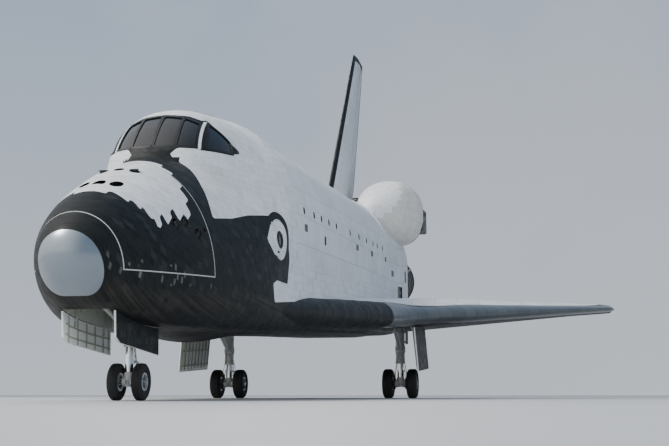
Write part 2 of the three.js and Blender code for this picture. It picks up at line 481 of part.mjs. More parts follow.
// the lower rear corner is cut away above the upper engine
const FIN_NOTCH = [[1504, 470], [1504, 498], [1513, 503], [1556, 532], [1640, 585], [1640, 470]];
put("fin", loft(FIN_ROWS.map(finRing)).subtract(fuselageGrown).subtract(finBay).subtract(prismY(FIN_NOTCH, -40, 40))
  .intersect(box(1290, 1720, -30, 30, 495.5, 830)), WHITE);
put("rudder_spar", loft([[0, 0], [HINGE_LEN, 1]].map(([u, t]) => {
  const R = lerp(RUDDER.tube[0], RUDDER.tube[1], t), pts = [];
  for (let i = 0; i < 20; i++) pts.push([R * Math.cos(i * Math.PI / 10), R * Math.sin(i * Math.PI / 10)]);
  return pts.map(([v, y]) => onRudder(u, v, y));
})), METAL);
for (const [side, s] of [["left", 1], ["right", -1]]) {
  put(`speed_brake_${side}`, loft([[0, 0], [HINGE_LEN, 1]].map(([u, t]) => {
    const Ri = lerp(RUDDER.tube[0], RUDDER.tube[1], t) + 0.3, Ro = lerp(RUDDER.skin[0], RUDDER.skin[1], t), c = lerp(RUDDER.chord[0], RUDDER.chord[1], t);
    const pts = [], n = 8;
    for (let i = 0; i <= n; i++) { const a = lerp(0.04, Math.PI / 2, i / n); pts.push([Ri * Math.cos(a), Ri * Math.sin(a)]); }
    pts.push([0, Ro], [c, 1.0], [c, 0.25]);
    return pts.map(([v, y]) => onRudder(u, v, s * y));
  })), WHITE);
}

// ------------------------------------------------------------------ orbital engine pods
const POD_NOZZLE = { X: 1518, y: 88, z: 492, up: 15.8, out: 6.5, throat: 8, exit: 21.5, s0: 8, s1: 74 };
const finGrown = loft(FIN_ROWS.map(([z, a, b]) => finRing([z, a + 0.4, b + 0.4])));
for (const [side, s] of [["left", 1], ["right", -1]]) {
  const rings = POD.map(([X, y, z, hw, hh]) => {
    const pts = [], n = 16, k = 2 / 2.4;
    for (let i = 0; i < n; i++) {
      const a = (i / n) * 2 * Math.PI, c = Math.cos(a), q = Math.sin(a);
      pts.push(P(X, s * (y + hw * Math.sign(c) * Math.abs(c) ** k), z + hh * Math.sign(q) * Math.abs(q) ** k));
    }
    return pts;
  });
  const o = [POD_NOZZLE.X, s * POD_NOZZLE.y, POD_NOZZLE.z], d = dir(POD_NOZZLE.up, s * POD_NOZZLE.out);
  const housing = s > 0 ? [120, 141] : [-141, -120];
  put(`engine_pod_${side}`, loft(rings).add(box(1496, 1570, housing[0], housing[1], 456, 500))
    .subtract(fuselageGrown).subtract(finGrown)
    .subtract(bar(along(o, d, 2), along(o, d, 60), 15, 26, 20)), WHITE);
  put(`orbital_nozzle_${side}`, bell(o, d, POD_NOZZLE.s0, POD_NOZZLE.s1, POD_NOZZLE.throat, POD_NOZZLE.exit, 1.2, 14)
    .add(bar(along(o, d, 3), along(o, d, 9), 7, 8, 10)), ENGINE);
}

// ------------------------------------------------------------------ landing gear
// the legs stand upright on the ground, so their line leans in the orbiter's frame
const LEAN = Math.tan(PARK_PITCH);
const ground = (X) => HEIGHT_0 + (STATION_0 - X) * LEAN;
function wheel(X, y, axleZ, R, w, hub) {
  // tyre as a ring with flat facets: one facet rests on the ground
  const n = 20, k = 1 / Math.cos(Math.PI / n), h = w / 2;
  const prof = [[hub, -h * 0.85], [R * 0.88, -h], [R * k, -h * 0.62], [R * k, h * 0.62], [R * 0.88, h], [hub, h * 0.85], [hub, -h * 0.85]];
  const g = new THREE.LatheGeometry(prof.map(([r, a]) => new THREE.Vector2(r * IN, a * IN)), n, Math.PI / n);
  g.rotateY(-PARK_PITCH);
  g.translate(...P(X, y, axleZ));
  return toSolid(g);
}
const axis = (X, z, up) => [X + up * Math.sin(PARK_PITCH), z + up * Math.cos(PARK_PITCH)];   // [X, z] at height up above a point, along the leg
function leg(X, y, z, u0, u1, r, r1 = r, segments = 12) {
  const a = axis(X, z, u0), b = axis(X, z, u1);
  return bar([a[0], y, a[1]], [b[0], y, b[1]], r, r1, segments);
}
// nose gear: fixed leg, turning piston with the axle, twin wheels
{
  const { X, r, w, half, hub } = NOSE_WHEEL;
  const c = r / Math.cos(PARK_PITCH), z = ground(X) + c;
  const inWell = box(NOSE_WELL.x0 + GAP, NOSE_WELL.x1 - GAP, -NOSE_WELL.y + GAP, NOSE_WELL.y - GAP, 200, NOSE_WELL.roof - GAP);
  const top = axis(X, z, 82), mid = axis(X, z, 48);
  put("nose_gear_leg", union([
    leg(X, 0, z, 34, 120, 5.4),
    bar([top[0], -30, top[1]], [top[0], 30, top[1]], 4.2, 4.2, 14),
    bar([mid[0] - 3, 5, mid[1]], [300, 15, 322], 2.2, 2.2, 10),
    bar([mid[0] - 3, -5, mid[1]], [300, -15, 322], 2.2, 2.2, 10),
    box(292, 308, -22, 22, 316, 330),
  ]).intersect(inWell).subtract(leg(X, 0, z, 20, 46, 3.9)), GEAR);
  put("nose_gear_piston", union([
    leg(X, 0, z, 0, 44, 3.6), leg(X, 0, z, -4, 8, 4.6),
    bar([X, -5.5, z], [X, 5.5, z], 4.2, 4.2, 14),
  ]).subtract(bar([X, -9, z], [X, 9, z], 2.4, 2.4, 14)), GEAR);
  put("nose_wheel_hubs", union([
    bar([X, -half - 4.6, z], [X, half + 4.6, z], 2.1, 2.1, 12),
    bar([X, half - 3.4, z], [X, half + 3.4, z], hub - 0.3, hub - 0.3, 14),
    bar([X, -half - 3.4, z], [X, -half + 3.4, z], hub - 0.3, hub - 0.3, 14),
  ]), METAL);
  put("nose_tyre_left", wheel(X, half, z, r, w, hub), RUBBER);
  put("nose_tyre_right", wheel(X, -half, z, r, w, hub), RUBBER);
  for (const [side, s] of [["left", 1], ["right", -1]]) {
    const y0 = 21.2, edge = [290, 300, 335, 378, 390].map((x) => [x, bodyRow(x)[1] - 0.6]);
    put(`nose_gear_door_${side}`, prismY([...edge, [390, 260], [300, 272], [291, 277]],
      ...(s > 0 ? [y0, y0 + 1.6] : [-y0 - 1.6, -y0])), WHITE);
  }
}
// main gear: leg with its braces, twin wheels, outboard door
for (const [side, s] of [["left", 1], ["right", -1]]) {
  const { X, r, w, half, hub } = MAIN_WHEEL, y = s * MAIN_WHEEL.y;
  const z = ground(X) + r / Math.cos(PARK_PITCH);
  const ys = s > 0 ? [MAIN_WELL.y0, MAIN_WELL.y1] : [-MAIN_WELL.y1, -MAIN_WELL.y0];
  const inWell = box(MAIN_WELL.x0 + GAP, MAIN_WELL.x1 - GAP, ys[0] + GAP, ys[1] - GAP, 150, MAIN_WELL.roof - GAP);
  const top = axis(X, z, 98), mid = axis(X, z, 52);
  put(`main_gear_leg_${side}`, union([
    leg(X, y, z, 30, 130, 7), leg(X, y, z, -5, 32, 5),
    bar([top[0], y - 60, top[1]], [top[0], y + 60, top[1]], 5, 5, 14),
    bar([mid[0] - 4, y, mid[1]], [1064, y, 306], 3.2, 3.2, 12),
    box(1050, 1078, ys[0] - 2, ys[1] + 2, 298, 312),
    bar([X, y - 8, z], [X, y + 8, z], 5.4, 5.4, 16),
  ]).intersect(inWell).subtract(bar([X, y - 12, z], [X, y + 12, z], 3.3, 3.3, 14)), GEAR);
  put(`main_wheel_hubs_${side}`, union([
    bar([X, y - half - 8, z], [X, y + half + 8, z], 3, 3, 14),
    bar([X, y + half - 6.4, z], [X, y + half + 6.4, z], hub - 0.3, hub - 0.3, 14),
    bar([X, y - half - 6.4, z], [X, y - half + 6.4, z], hub - 0.3, hub - 0.3, 14),
  ]), METAL);
  put(`main_tyre_outer_${side}`, wheel(X, y + s * half, z, r, w, hub), RUBBER);
  put(`main_tyre_inner_${side}`, wheel(X, y - s * half, z, r, w, hub), RUBBER);
  const zh = wingLow(1118, 171) - 0.8, dy = s * 171.2;
  const tilt = s * 5, thick = s * 2;
  put(`main_gear_door_${side}`, loft([1047, 1189].map((X1) => {
    const zt = wingLow(X1, 171) - 0.8;
    return [[dy, zt], [dy + thick, zt], [dy + thick + tilt, zt - 62], [dy + tilt, zt - 62]].map(([a, b]) => P(X1, a, b));
  })), BLACK);
}

// ------------------------------------------------------------------ stand it on the ground
craft.rotation.y = PARK_PITCH;
group.updateMatrixWorld(true);
const bounds = new THREE.Box3().setFromObject(group, true);
craft.position.set(-(bounds.min.x + bounds.max.x) / 2, -(bounds.min.y + bounds.max.y) / 2, -bounds.min.z);
group.updateMatrixWorld(true);

export default group;
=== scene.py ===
# Space shuttle orbiter standing on its landing gear: the looks.
# Lengths are inches in the orbiter's structural frame: X station (aft), Y left, Z up.
import json
import math

import bpy
import numpy as np
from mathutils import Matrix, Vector
from mathutils.bvhtree import BVHTree


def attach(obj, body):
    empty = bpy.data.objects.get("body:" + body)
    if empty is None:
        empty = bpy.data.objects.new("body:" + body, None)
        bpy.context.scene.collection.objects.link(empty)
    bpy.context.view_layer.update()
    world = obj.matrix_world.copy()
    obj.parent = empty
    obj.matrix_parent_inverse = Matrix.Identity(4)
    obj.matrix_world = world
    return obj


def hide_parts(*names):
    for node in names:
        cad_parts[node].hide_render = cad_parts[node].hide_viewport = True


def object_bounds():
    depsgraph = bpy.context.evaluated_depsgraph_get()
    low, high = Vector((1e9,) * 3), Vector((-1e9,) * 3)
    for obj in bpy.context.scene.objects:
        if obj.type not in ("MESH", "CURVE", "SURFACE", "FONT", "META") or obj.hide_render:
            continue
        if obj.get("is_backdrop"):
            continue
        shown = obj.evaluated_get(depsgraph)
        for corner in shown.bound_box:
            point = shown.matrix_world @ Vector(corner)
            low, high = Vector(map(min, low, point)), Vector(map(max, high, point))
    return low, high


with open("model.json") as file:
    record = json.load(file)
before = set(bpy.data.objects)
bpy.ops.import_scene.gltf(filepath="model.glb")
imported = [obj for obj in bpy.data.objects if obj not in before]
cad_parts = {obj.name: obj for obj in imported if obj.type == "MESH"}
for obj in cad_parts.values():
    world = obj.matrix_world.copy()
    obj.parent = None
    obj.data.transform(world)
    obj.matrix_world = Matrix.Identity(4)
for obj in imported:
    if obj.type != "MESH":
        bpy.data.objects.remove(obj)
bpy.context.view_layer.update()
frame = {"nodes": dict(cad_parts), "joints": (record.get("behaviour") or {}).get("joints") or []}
NODES = frame["nodes"]
JOINTS = {j["name"]: j for j in frame["joints"]}

# ------------------------------------------------------------------ frame
IN = 0.0254
PITCH = math.radians(3.5)
CP, SP = math.cos(PITCH), math.sin(PITCH)
SHIFT_X = -5.701264


def W(p):
    """Inches in the orbiter's frame to metres in the row frame."""
    p = np.asarray(p, float).reshape(-1, 3)
    x, y, z = (1172 - p[:, 0]) * IN, p[:, 1] * IN, (p[:, 2] - 173) * IN
    return np.stack([CP * x + SP * z + SHIFT_X, y, -SP * x + CP * z], 1)


def WI(q):
    """Metres in the row frame back to inches in the orbiter's frame."""
    q = np.asarray(q, float).reshape(-1, 3)
    a, b = q[:, 0] - SHIFT_X, q[:, 2]
    x, z = CP * a - SP * b, SP * a + CP * b
    return np.stack([1172 - x / IN, q[:, 1] / IN, z / IN + 173], 1)


def at(joint):
    """Kit frame in inches, level with the ground, with its origin on a joint."""
    o = np.array(JOINTS[joint]["pos_m"])
    return lambda p: np.asarray(p, float).reshape(-1, 3) * IN + o


# ------------------------------------------------------------------ tables
# X, belly z, flat belly half width, greatest half width, top of chine z, top of side z, crown z
BODY = np.array([
    [239.5, 334, 1.5, 8, 341, 341.6, 349], [244, 326, 3, 16.5, 341, 341.6, 357.5],
    [252, 317.5, 5, 25, 341, 341.6, 366.5], [264, 309, 8, 33.5, 340, 340.6, 376.5],
    [280, 301.5, 13, 42, 338, 338.6, 387], [300, 295.5, 21, 50.5, 335, 335.6, 397.5],
    [335, 289, 33, 62.5, 330, 330.6, 412], [378, 284.5, 46, 75, 326, 326.6, 427],
    [420, 282.5, 56, 84.5, 322, 324, 438], [446, 281.5, 62, 89.5, 320, 325, 445],
    [490, 280.5, 70, 96, 316, 335, 458], [535, 279.5, 78, 100, 312, 360, 482],
    [576, 279, 84, 102, 308, 396, 502], [582, 279, 84, 102, 306, 400, 502],
    [1040, 273, 84, 102, 300, 400, 502], [1307, 267.5, 86, 102, 297, 400, 502],
    [1387, 268.5, 90, 105, 299, 400, 502], [1512, 277.5, 92, 110, 307, 394, 495],
])
# X, half width, crown z
CANOPY = np.array([
    [426, 12, 441], [435, 34, 453], [446, 45, 466], [458, 53, 478], [472, 59, 488],
    [488, 64, 495], [512, 70, 499], [552, 82, 501.5], [582, 92, 502],
])
# y, leading edge X, leading edge z, nose length, z at end of nose, X of crest, crest z
WING = np.array([
    [86, 480, 303, 230, 318, 1120, 324], [112, 601.5, 300, 220, 317, 1120, 324],
    [135, 769.4, 296.7, 190, 316.5, 1120, 324], [157, 930, 293.5, 130, 315, 1125, 324],
    [167, 985, 293.5, 95, 314, 1130, 324], [180, 1018, 294.5, 80, 314, 1140, 324],
    [200, 1045, 296, 65, 314, 1150, 324], [230, 1066, 297.5, 52, 314, 1170, 323],
    [300, 1136, 300.5, 44, 313, 1235, 320], [400, 1236, 304.5, 34, 312, 1310, 316.5],
    [455, 1291, 306.5, 26, 311, 1345, 313.6], [466, 1310, 306.6, 20, 309.5, 1352, 311.6],
    [468, 1330, 306.4, 16, 308.6, 1358, 310],
])
# X, centre y, centre z, half width, half height
POD = np.array([
    [1311, 66, 478, 4, 6], [1322, 68, 479, 16, 18], [1345, 73, 480, 30, 32], [1380, 79, 482, 42, 45],
    [1420, 83, 485, 49, 54], [1460, 86, 487, 53, 58], [1500, 88, 487, 54, 58], [1525, 88, 487, 50, 54],
    [1542, 88, 488, 42, 46],
])
ENGINES = [("upper", 1445, 0, 443, 16, 0), ("left", 1468.17, 53, 342.64, 10, 3.5), ("right", 1468.17, -53, 342.64, 10, -3.5)]
HATCH = (530.0, 369.0)
SILL_Z, BAY_Z = 414, 400


def hinge_z(y):
    return 284 + 0.0612 * (y - 105)


def elevon_r(y):
    return 12 - 7 * (y - 115) / (436 - 115)


def wing_te(y):
    return 1525.2 - 0.1773 * y


def wing_low(X, y):
    return 282 - (X - 582) * 0.0124 + 0.083 * np.maximum(y - 105, 0)


# ------------------------------------------------------------------ curves
def pchip(x, y, q):
    """Smooth curve through a table without overshoot."""
    x, y, q = np.asarray(x, float), np.asarray(y, float), np.asarray(q, float)
    h, m = np.diff(x), np.zeros(len(x))
    d = np.diff(y) / h
    for i in range(1, len(x) - 1):
        if d[i - 1] * d[i] > 0:
            a, b = 2 * h[i] + h[i - 1], h[i] + 2 * h[i - 1]
            m[i] = (a + b) / (a / d[i - 1] + b / d[i])
    m[0], m[-1] = d[0], d[-1]
    i = np.clip(np.searchsorted(x, q, side="right") - 1, 0, len(h) - 1)
    t = np.clip((q - x[i]) / h[i], 0, 1)
    return ((2 * t**3 - 3 * t**2 + 1) * y[i] + (t**3 - 2 * t**2 + t) * h[i] * m[i]
            + (3 * t**2 - 2 * t**3) * y[i + 1] + (t**3 - t**2) * h[i] * m[i + 1])


TH = np.linspace(-math.pi / 2, math.pi / 2, 721)


def body_rows(X):
    X = np.atleast_1d(np.asarray(X, float))
    out = np.zeros((len(X), 6))
    front = BODY[BODY[:, 0] <= 1040].copy()
    front[0, 1:] = [341, 0, 0, 341, 341, 341]
    u, uq = np.sqrt(np.maximum(front[:, 0] - 239.5, 0)), np.sqrt(np.maximum(X - 239.5, 0))
    rear = BODY[BODY[:, 0] >= 1307]
    for k in range(6):
        a = pchip(u, front[:, k + 1], uq)
        b = np.interp(X, BODY[:, 0], BODY[:, k + 1])
        c = pchip(rear[:, 0], rear[:, k + 1], np.maximum(X, 1307))
        out[:, k] = np.where(X <= 582, a, np.where(X <= 1307, b, c))
    return out


def polar(y, z, c):
    th, r = np.arctan2(z - c, y), np.hypot(y, z - c)
    return np.interp(TH, th, r)


def skin_r(X, canopy=True):
    """Centre height and radius over TH of the outer skin at each station."""
    X = np.atleast_1d(np.asarray(X, float))
    R, C = np.zeros((len(X), len(TH))), np.zeros(len(X))
    cw, ct = pchip(CANOPY[:, 0], CANOPY[:, 1], X), pchip(CANOPY[:, 0], CANOPY[:, 2], X)
    a, b = np.linspace(0, math.pi / 2, 31), np.linspace(0, math.pi / 2, 61)
    for i, (zb, wb, w, zc, zs, zt) in enumerate(body_rows(X)):
        c = C[i] = (zb + zt) / 2
        if w < 1e-6:
            continue
        f = np.linspace(0, 1, 24)
        y = np.concatenate([wb * f[:-1], wb + (w - wb) * np.sin(a), np.full(12, w), w * np.cos(b)])
        z = np.concatenate([np.full(23, zb), zc - (zc - zb) * np.cos(a), np.linspace(zc, zs, 14)[1:-1], zs + (zt - zs) * np.sin(b)])
        y[0] = 0
        r = polar(y, z, c)
        if canopy and X[i] > 426.1:
            k = 2 / 2.2
            cy = np.concatenate([np.full(20, cw[i]), cw[i] * np.abs(np.cos(b)) ** k])
            cz = np.concatenate([np.linspace(300, 424, 20), 425 + (ct[i] - 425) * np.abs(np.sin(b)) ** k])
            rc = polar(cy, cz, c)
            fade = min(max((580 - X[i]) / 45, 0), 1)
            rc = np.where(rc > r, r + (rc - r) * fade * fade * (3 - 2 * fade), rc)
            r = (r**28 + rc**28) ** (1 / 28)
        R[i] = r
    return C, R


def half_ring(c, r, n, grow=0.0):
    """Points (y, z) at even girth from the keel to the crown."""
    r = r + grow
    y, z = r * np.cos(TH), c + r * np.sin(TH)
    s = np.concatenate([[0], np.cumsum(np.hypot(np.diff(y), np.diff(z)))])
    q = np.linspace(0, s[-1], n + 1)
    y, z = np.interp(q, s, y), np.interp(q, s, z)
    y[0] = y[-1] = 0
    return y, z


def skin_grid(X, n, grow=0.0, canopy=True):
    """Closed rings [station, around, xyz] of the fuselage skin."""
    C, R = skin_r(X, canopy)
    grow = np.broadcast_to(grow, len(X))
    g = np.zeros((len(X), 2 * n, 3))
    for i, x in enumerate(X):
        y, z = half_ring(C[i], R[i], n, grow[i])
        g[i, :, 0] = x
        g[i, : n + 1, 1], g[i, : n + 1, 2] = y, z
        g[i, n + 1:, 1], g[i, n + 1:, 2] = -y[1:-1][::-1], z[1:-1][::-1]
    return g


# girth from the keel, as a lookup over station and angle
GX = np.unique(np.concatenate([239.5 + np.linspace(0, 6.3, 30) ** 2, np.arange(280, 600, 5), np.arange(600, 1513, 16), [1512.5]]))
GC, GR = skin_r(GX)
GS = np.zeros_like(GR)
for _i in range(len(GX)):
    _y, _z = GR[_i] * np.cos(TH), GR[_i] * np.sin(TH)
    GS[_i, 1:] = np.cumsum(np.hypot(np.diff(_y), np.diff(_z)))


def bilinear(T, X, th):
    i = np.clip(np.searchsorted(GX, X) - 1, 0, len(GX) - 2)
    a = np.clip((X - GX[i]) / (GX[i + 1] - GX[i]), 0, 1)
    f = np.clip((th + math.pi / 2) / math.pi * (len(TH) - 1), 0, len(TH) - 1.001)
    j = f.astype(int)
    b = f - j
    return (T[i, j] * (1 - a) * (1 - b) + T[i + 1, j] * a * (1 - b) + T[i, j + 1] * (1 - a) * b + T[i + 1, j + 1] * a * b)


def girth(p):
    c = np.interp(p[:, 0], GX, GC)
    return bilinear(GS, p[:, 0], np.arctan2(p[:, 2] - c, np.abs(p[:, 1])))


def skin_y(X, Z):
    """Half width of the fuselage at a station and height."""
    c = np.interp(X, GX, GC)
    i = np.argmin(np.abs(GX - X))
    z = GC[i] + GR[i] * np.sin(TH)
    return float(np.interp(Z - c + GC[i], z, GR[i] * np.cos(TH)))


# ------------------------------------------------------------------ meshes
def tri_volume(v, f):
    t, sizes = 0.0, {}
    for q in f:
        sizes.setdefault(len(q), []).append(q)
    for k, qs in sizes.items():
        q = np.array(qs)
        for i in range(1, k - 1):
            t += float((v[q[:, 0]] * np.cross(v[q[:, i]], v[q[:, i + 1]])).sum())
    return t


def quads(m, n, closed, base=0):
    i, j = np.meshgrid(np.arange(m - 1), np.arange(n if closed else n - 1), indexing="ij")
    a = base + i * n + j
    b = base + i * n + (j + 1) % n
    return np.stack([a, b, b + n, a + n], -1).reshape(-1, 4)


def grid_volume(v, q):
    a, b, c, d = (v[q[:, k]] for k in range(4))
    return float((np.cross(b, c) * a).sum() + (np.cross(c, d) * a).sum())


def loft(g, tip=False, caps=True):
    """Closed solid over rings [m, n, 3]; tip closes the first ring to a point."""
    m, n, _ = g.shape
    v, q = g.reshape(-1, 3), quads(m, n, True)
    faces = [tuple(x) for x in q.tolist()]
    if tip:
        keep = [f for f in faces if min(f) >= n]
        first = [(0, n + j, n + (j + 1) % n) for j in range(n)]
        faces = [tuple(0 if k < n else k - n + 1 for k in f) for f in keep] + [tuple(0 if k < n else k - n + 1 for k in f) for f in
                                                                              [(0, b, c) for (_, c, b) in first]]
        v = np.concatenate([v[:1], v[n:]])
        last = tuple(range(1 + (m - 2) * n, 1 + (m - 1) * n))
        faces.append(last if caps else ())
    else:
        if caps:
            faces += [tuple(range(n))[::-1], tuple(range((m - 1) * n, m * n))]
    return v, [f for f in faces if f]


SPARE = [bpy.data.materials.new(f"spare_{i}") for i in range(6)]


def new_mesh(name, v, f, mats=None):
    me = bpy.data.meshes.new(name)
    me.from_pydata(np.asarray(v, float).tolist(), [], [tuple(int(k) for k in q) for q in f])
    if mats is not None:
        me.polygons.foreach_set("material_index", np.asarray(mats, np.int32))
    me.update()
    return me


def closed_mesh(name, v, f, mat=0):
    """Mesh in the row frame from inches, faces turned outwards."""
    v = W(v)
    mid = v.mean(0)
    if tri_volume(v - mid, f) < 0:
        f = [tuple(reversed(q)) for q in f]
    me = new_mesh(name, v, f, [mat] * len(f))
    for m in SPARE:
        me.materials.append(m)
    return me


def add_object(name, me):
    o = bpy.data.objects.new(name, me)
    bpy.context.scene.collection.objects.link(o)
    return o


def solid(v, f, mat=0, name="tmp"):
    return add_object(name, closed_mesh(name, v, f, mat))


def copy_of(o, name="tmp"):
    return add_object(name, o.data.copy())


def cut(o, cutter, op="DIFFERENCE", keep=False):
    """Applies one boolean and drops the cutter."""
    m = o.modifiers.new("cut", "BOOLEAN")
    m.operation, m.object, m.solver = op, cutter, "MANIFOLD"
    if op == "DIFFERENCE" or op == "INTERSECT" or op == "UNION":
        dg = bpy.context.evaluated_depsgraph_get()
        me = bpy.data.meshes.new_from_object(o.evaluated_get(dg))
        o.modifiers.clear()
        old, o.data = o.data, me
        bpy.data.meshes.remove(old)
    if len(o.data.polygons) == 0:
        print("EMPTY boolean result:", o.name, op, cutter.name)
    if not keep:
        drop(cutter)
    return o


def drop(o):
    me = o.data
    bpy.data.objects.remove(o)
    if me.users == 0:
        bpy.data.meshes.remove(me)


def prism(pts, axis, lo, hi, mat=1):
    """Outline pushed along an axis: 'y' takes (X, z), 'z' takes (X, y), 'x' takes (y, z)."""
    k = {"x": 0, "y": 1, "z": 2}[axis]
    rest = [i for i in range(3) if i != k]
    g = np.zeros((2, len(pts), 3))
    for i, h in enumerate((lo, hi)):
        g[i, :, k] = h
        g[i, :, rest[0]], g[i, :, rest[1]] = np.array(pts, float).T
    v, f = loft(g)
    return solid(v, f, mat)


def box_cut(x0, x1, y0, y1, z0, z1, mat=1):
    return prism([(x0, y0), (x1, y0), (x1, y1), (x0, y1)], "z", z0, z1, mat)


def basis(d):
    d = np.asarray(d, float) / np.linalg.norm(d)
    up = np.array([0, 0, 1.0]) if abs(d[2]) < 0.9 else np.array([1.0, 0, 0])
    u = np.cross(up, d)
    u /= np.linalg.norm(u)
    return u, np.cross(d, u), d


def lathe_vf(o, d, prof, n=48):
    """Rings of a profile [(along, radius)...] round the axis from o along d."""
    u, w, d = basis(d)
    o = np.asarray(o, float)
    a = np.linspace(0, 2 * math.pi, n, endpoint=False)
    ring = np.cos(a)[:, None] * u + np.sin(a)[:, None] * w
    v, f, rows = [], [], []
    for s, r in prof:
        if r < 1e-6:
            rows.append([len(v)])
            v.append(o + d * s)
        else:
            rows.append(list(range(len(v), len(v) + n)))
            v.extend((o + d * s + ring * r).tolist())
    closed = len(rows[0]) > 1 and len(rows[-1]) > 1
    for p, q in zip(rows, rows[1:] + ([rows[0]] if closed else [])):
        for j in range(n):
            k = (j + 1) % n
            if len(p) == 1 and len(q) == 1:
                continue
            if len(p) == 1:
                f.append((p[0], q[k], q[j]))
            elif len(q) == 1:
                f.append((p[j], p[k], q[0]))
            else:
                f.append((p[j], p[k], q[k], q[j]))
    return np.array(v, float), f


def rod_cut(a, b, ra, rb=None, n=64, mat=1):
    rb = ra if rb is None else rb
    a, b = np.array(a, float), np.array(b, float)
    v, f = lathe_vf(a, b - a, [(0, 0), (0, ra), (np.linalg.norm(b - a), rb), (np.linalg.norm(b - a), 0)], n)
    return solid(v, f, mat)


class Surf:
    """A smooth open surface that gives normals to the pieces cut from it."""

    def __init__(self, grid, closed=True, transform=W):
        m, n, _ = grid.shape
        self.v = transform(grid.reshape(-1, 3))
        q = quads(m, n, closed)
        t = np.concatenate([q[:, [0, 1, 2]], q[:, [0, 2, 3]]])
        fn = np.cross(self.v[t[:, 1]] - self.v[t[:, 0]], self.v[t[:, 2]] - self.v[t[:, 0]])
        keep = np.linalg.norm(fn, axis=1) > 1e-12
        self.t, fn = t[keep], fn[keep]
        nrm = np.zeros_like(self.v)
        for k in range(3):
            np.add.at(nrm, self.t[:, k], fn)
        self.n = nrm / np.maximum(np.linalg.norm(nrm, axis=1), 1e-12)[:, None]
        self.tree = BVHTree.FromPolygons(self.v.tolist(), self.t.tolist())

    def query(self, co, tol):
        out, dist = np.zeros_like(co), np.full(len(co), 1e9)
        for i, p in enumerate(co):
            loc, _, idx, d = self.tree.find_nearest(Vector(p), tol)
            if loc is None:
                continue
            a, b, c = self.v[self.t[idx]]
            l = np.array(loc)
            e0, e1, e2 = b - a, c - a, l - a
            d00, d01, d11, d20, d21 = e0 @ e0, e0 @ e1, e1 @ e1, e2 @ e0, e2 @ e1
            den = d00 * d11 - d01 * d01
            if abs(den) < 1e-18:
                continue
            y, z = (d11 * d20 - d01 * d21) / den, (d00 * d21 - d01 * d20) / den
            k = self.t[idx]
            nn = self.n[k[0]] * (1 - y - z) + self.n[k[1]] * y + self.n[k[2]] * z
            out[i], dist[i] = nn / max(np.linalg.norm(nn), 1e-12), d
        return out, dist


def co_of(me):
    co = np.empty(len(me.vertices) * 3)
    me.vertices.foreach_get("co", co)
    return co.reshape(-1, 3)


def face_data(me):
    n = len(me.polygons)
    tot, fn, fc = np.empty(n, int), np.empty(n * 3), np.empty(n * 3)
    me.polygons.foreach_get("loop_total", tot)
    me.polygons.foreach_get("normal", fn)
    me.polygons.foreach_get("center", fc)
    lv = np.empty(len(me.loops), int)
    me.loops.foreach_get("vertex_index", lv)
    return tot, fn.reshape(-1, 3), fc.reshape(-1, 3), lv


def shade(o, surfs, tol=0.02):
    """Smooth normals from the surfaces that a piece was cut from, flat ones on its cut walls."""
    me = o.data
    co = co_of(me)
    tot, fn, _, lv = face_data(me)
    lf = np.repeat(np.arange(len(tot)), tot)
    best, out = np.full(len(lv), 0.6), fn[lf].copy()
    for s in surfs:
        n, d = s.query(co, tol)
        c = n[lv]
        dot = (c * fn[lf]).sum(1)
        ok = (d[lv] < tol) & (np.abs(dot) > best)
        out[ok] = (c * np.sign(dot)[:, None])[ok]
        best[ok] = np.abs(dot)[ok]
    me.polygons.foreach_set("use_smooth", np.ones(len(tot), bool))
    me.normals_split_custom_set(out.tolist())


def by_angle(o, deg=35):
    me = o.data
    me.polygons.foreach_set("use_smooth", np.ones(len(me.polygons), bool))
    me.set_sharp_from_angle(angle=math.radians(deg))


def attr(o, name, values):
    me = o.data
    if name in me.attributes:
        me.attributes.remove(me.attributes[name])
    a = me.attributes.new(name, "FLOAT_VECTOR", "POINT")
    a.data.foreach_set("vector", np.asarray(values, np.float32).ravel())


def set_mats(o, *mats):
    idx = np.empty(len(o.data.polygons), np.int32)
    o.data.polygons.foreach_get("material_index", idx)
    o.data.materials.clear()
    for m in mats:
        o.data.materials.append(m)
    o.data.polygons.foreach_set("material_index", np.clip(idx, 0, len(mats) - 1))


def remap(o, fn):
    """Sets material numbers from face centres (inches) and normals (orbiter frame)."""
    me = o.data
    _, n, c, _ = face_data(me)
    idx = np.empty(len(me.polygons), np.int32)
    me.polygons.foreach_get("material_index", idx)
    nn = WI(n + W([[1172, 0, 173]])[0]) - np.array([1172, 0, 173])
    nn /= np.maximum(np.linalg.norm(nn, axis=1), 1e-9)[:, None]
    me.polygons.foreach_set("material_index", fn(WI(c), nn, idx).astype(np.int32))


def finish(o, name, body, replaces=()):
    o.name = name
    o.data.name = name
    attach(o, body)
    if replaces:
        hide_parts(*replaces)
    return o


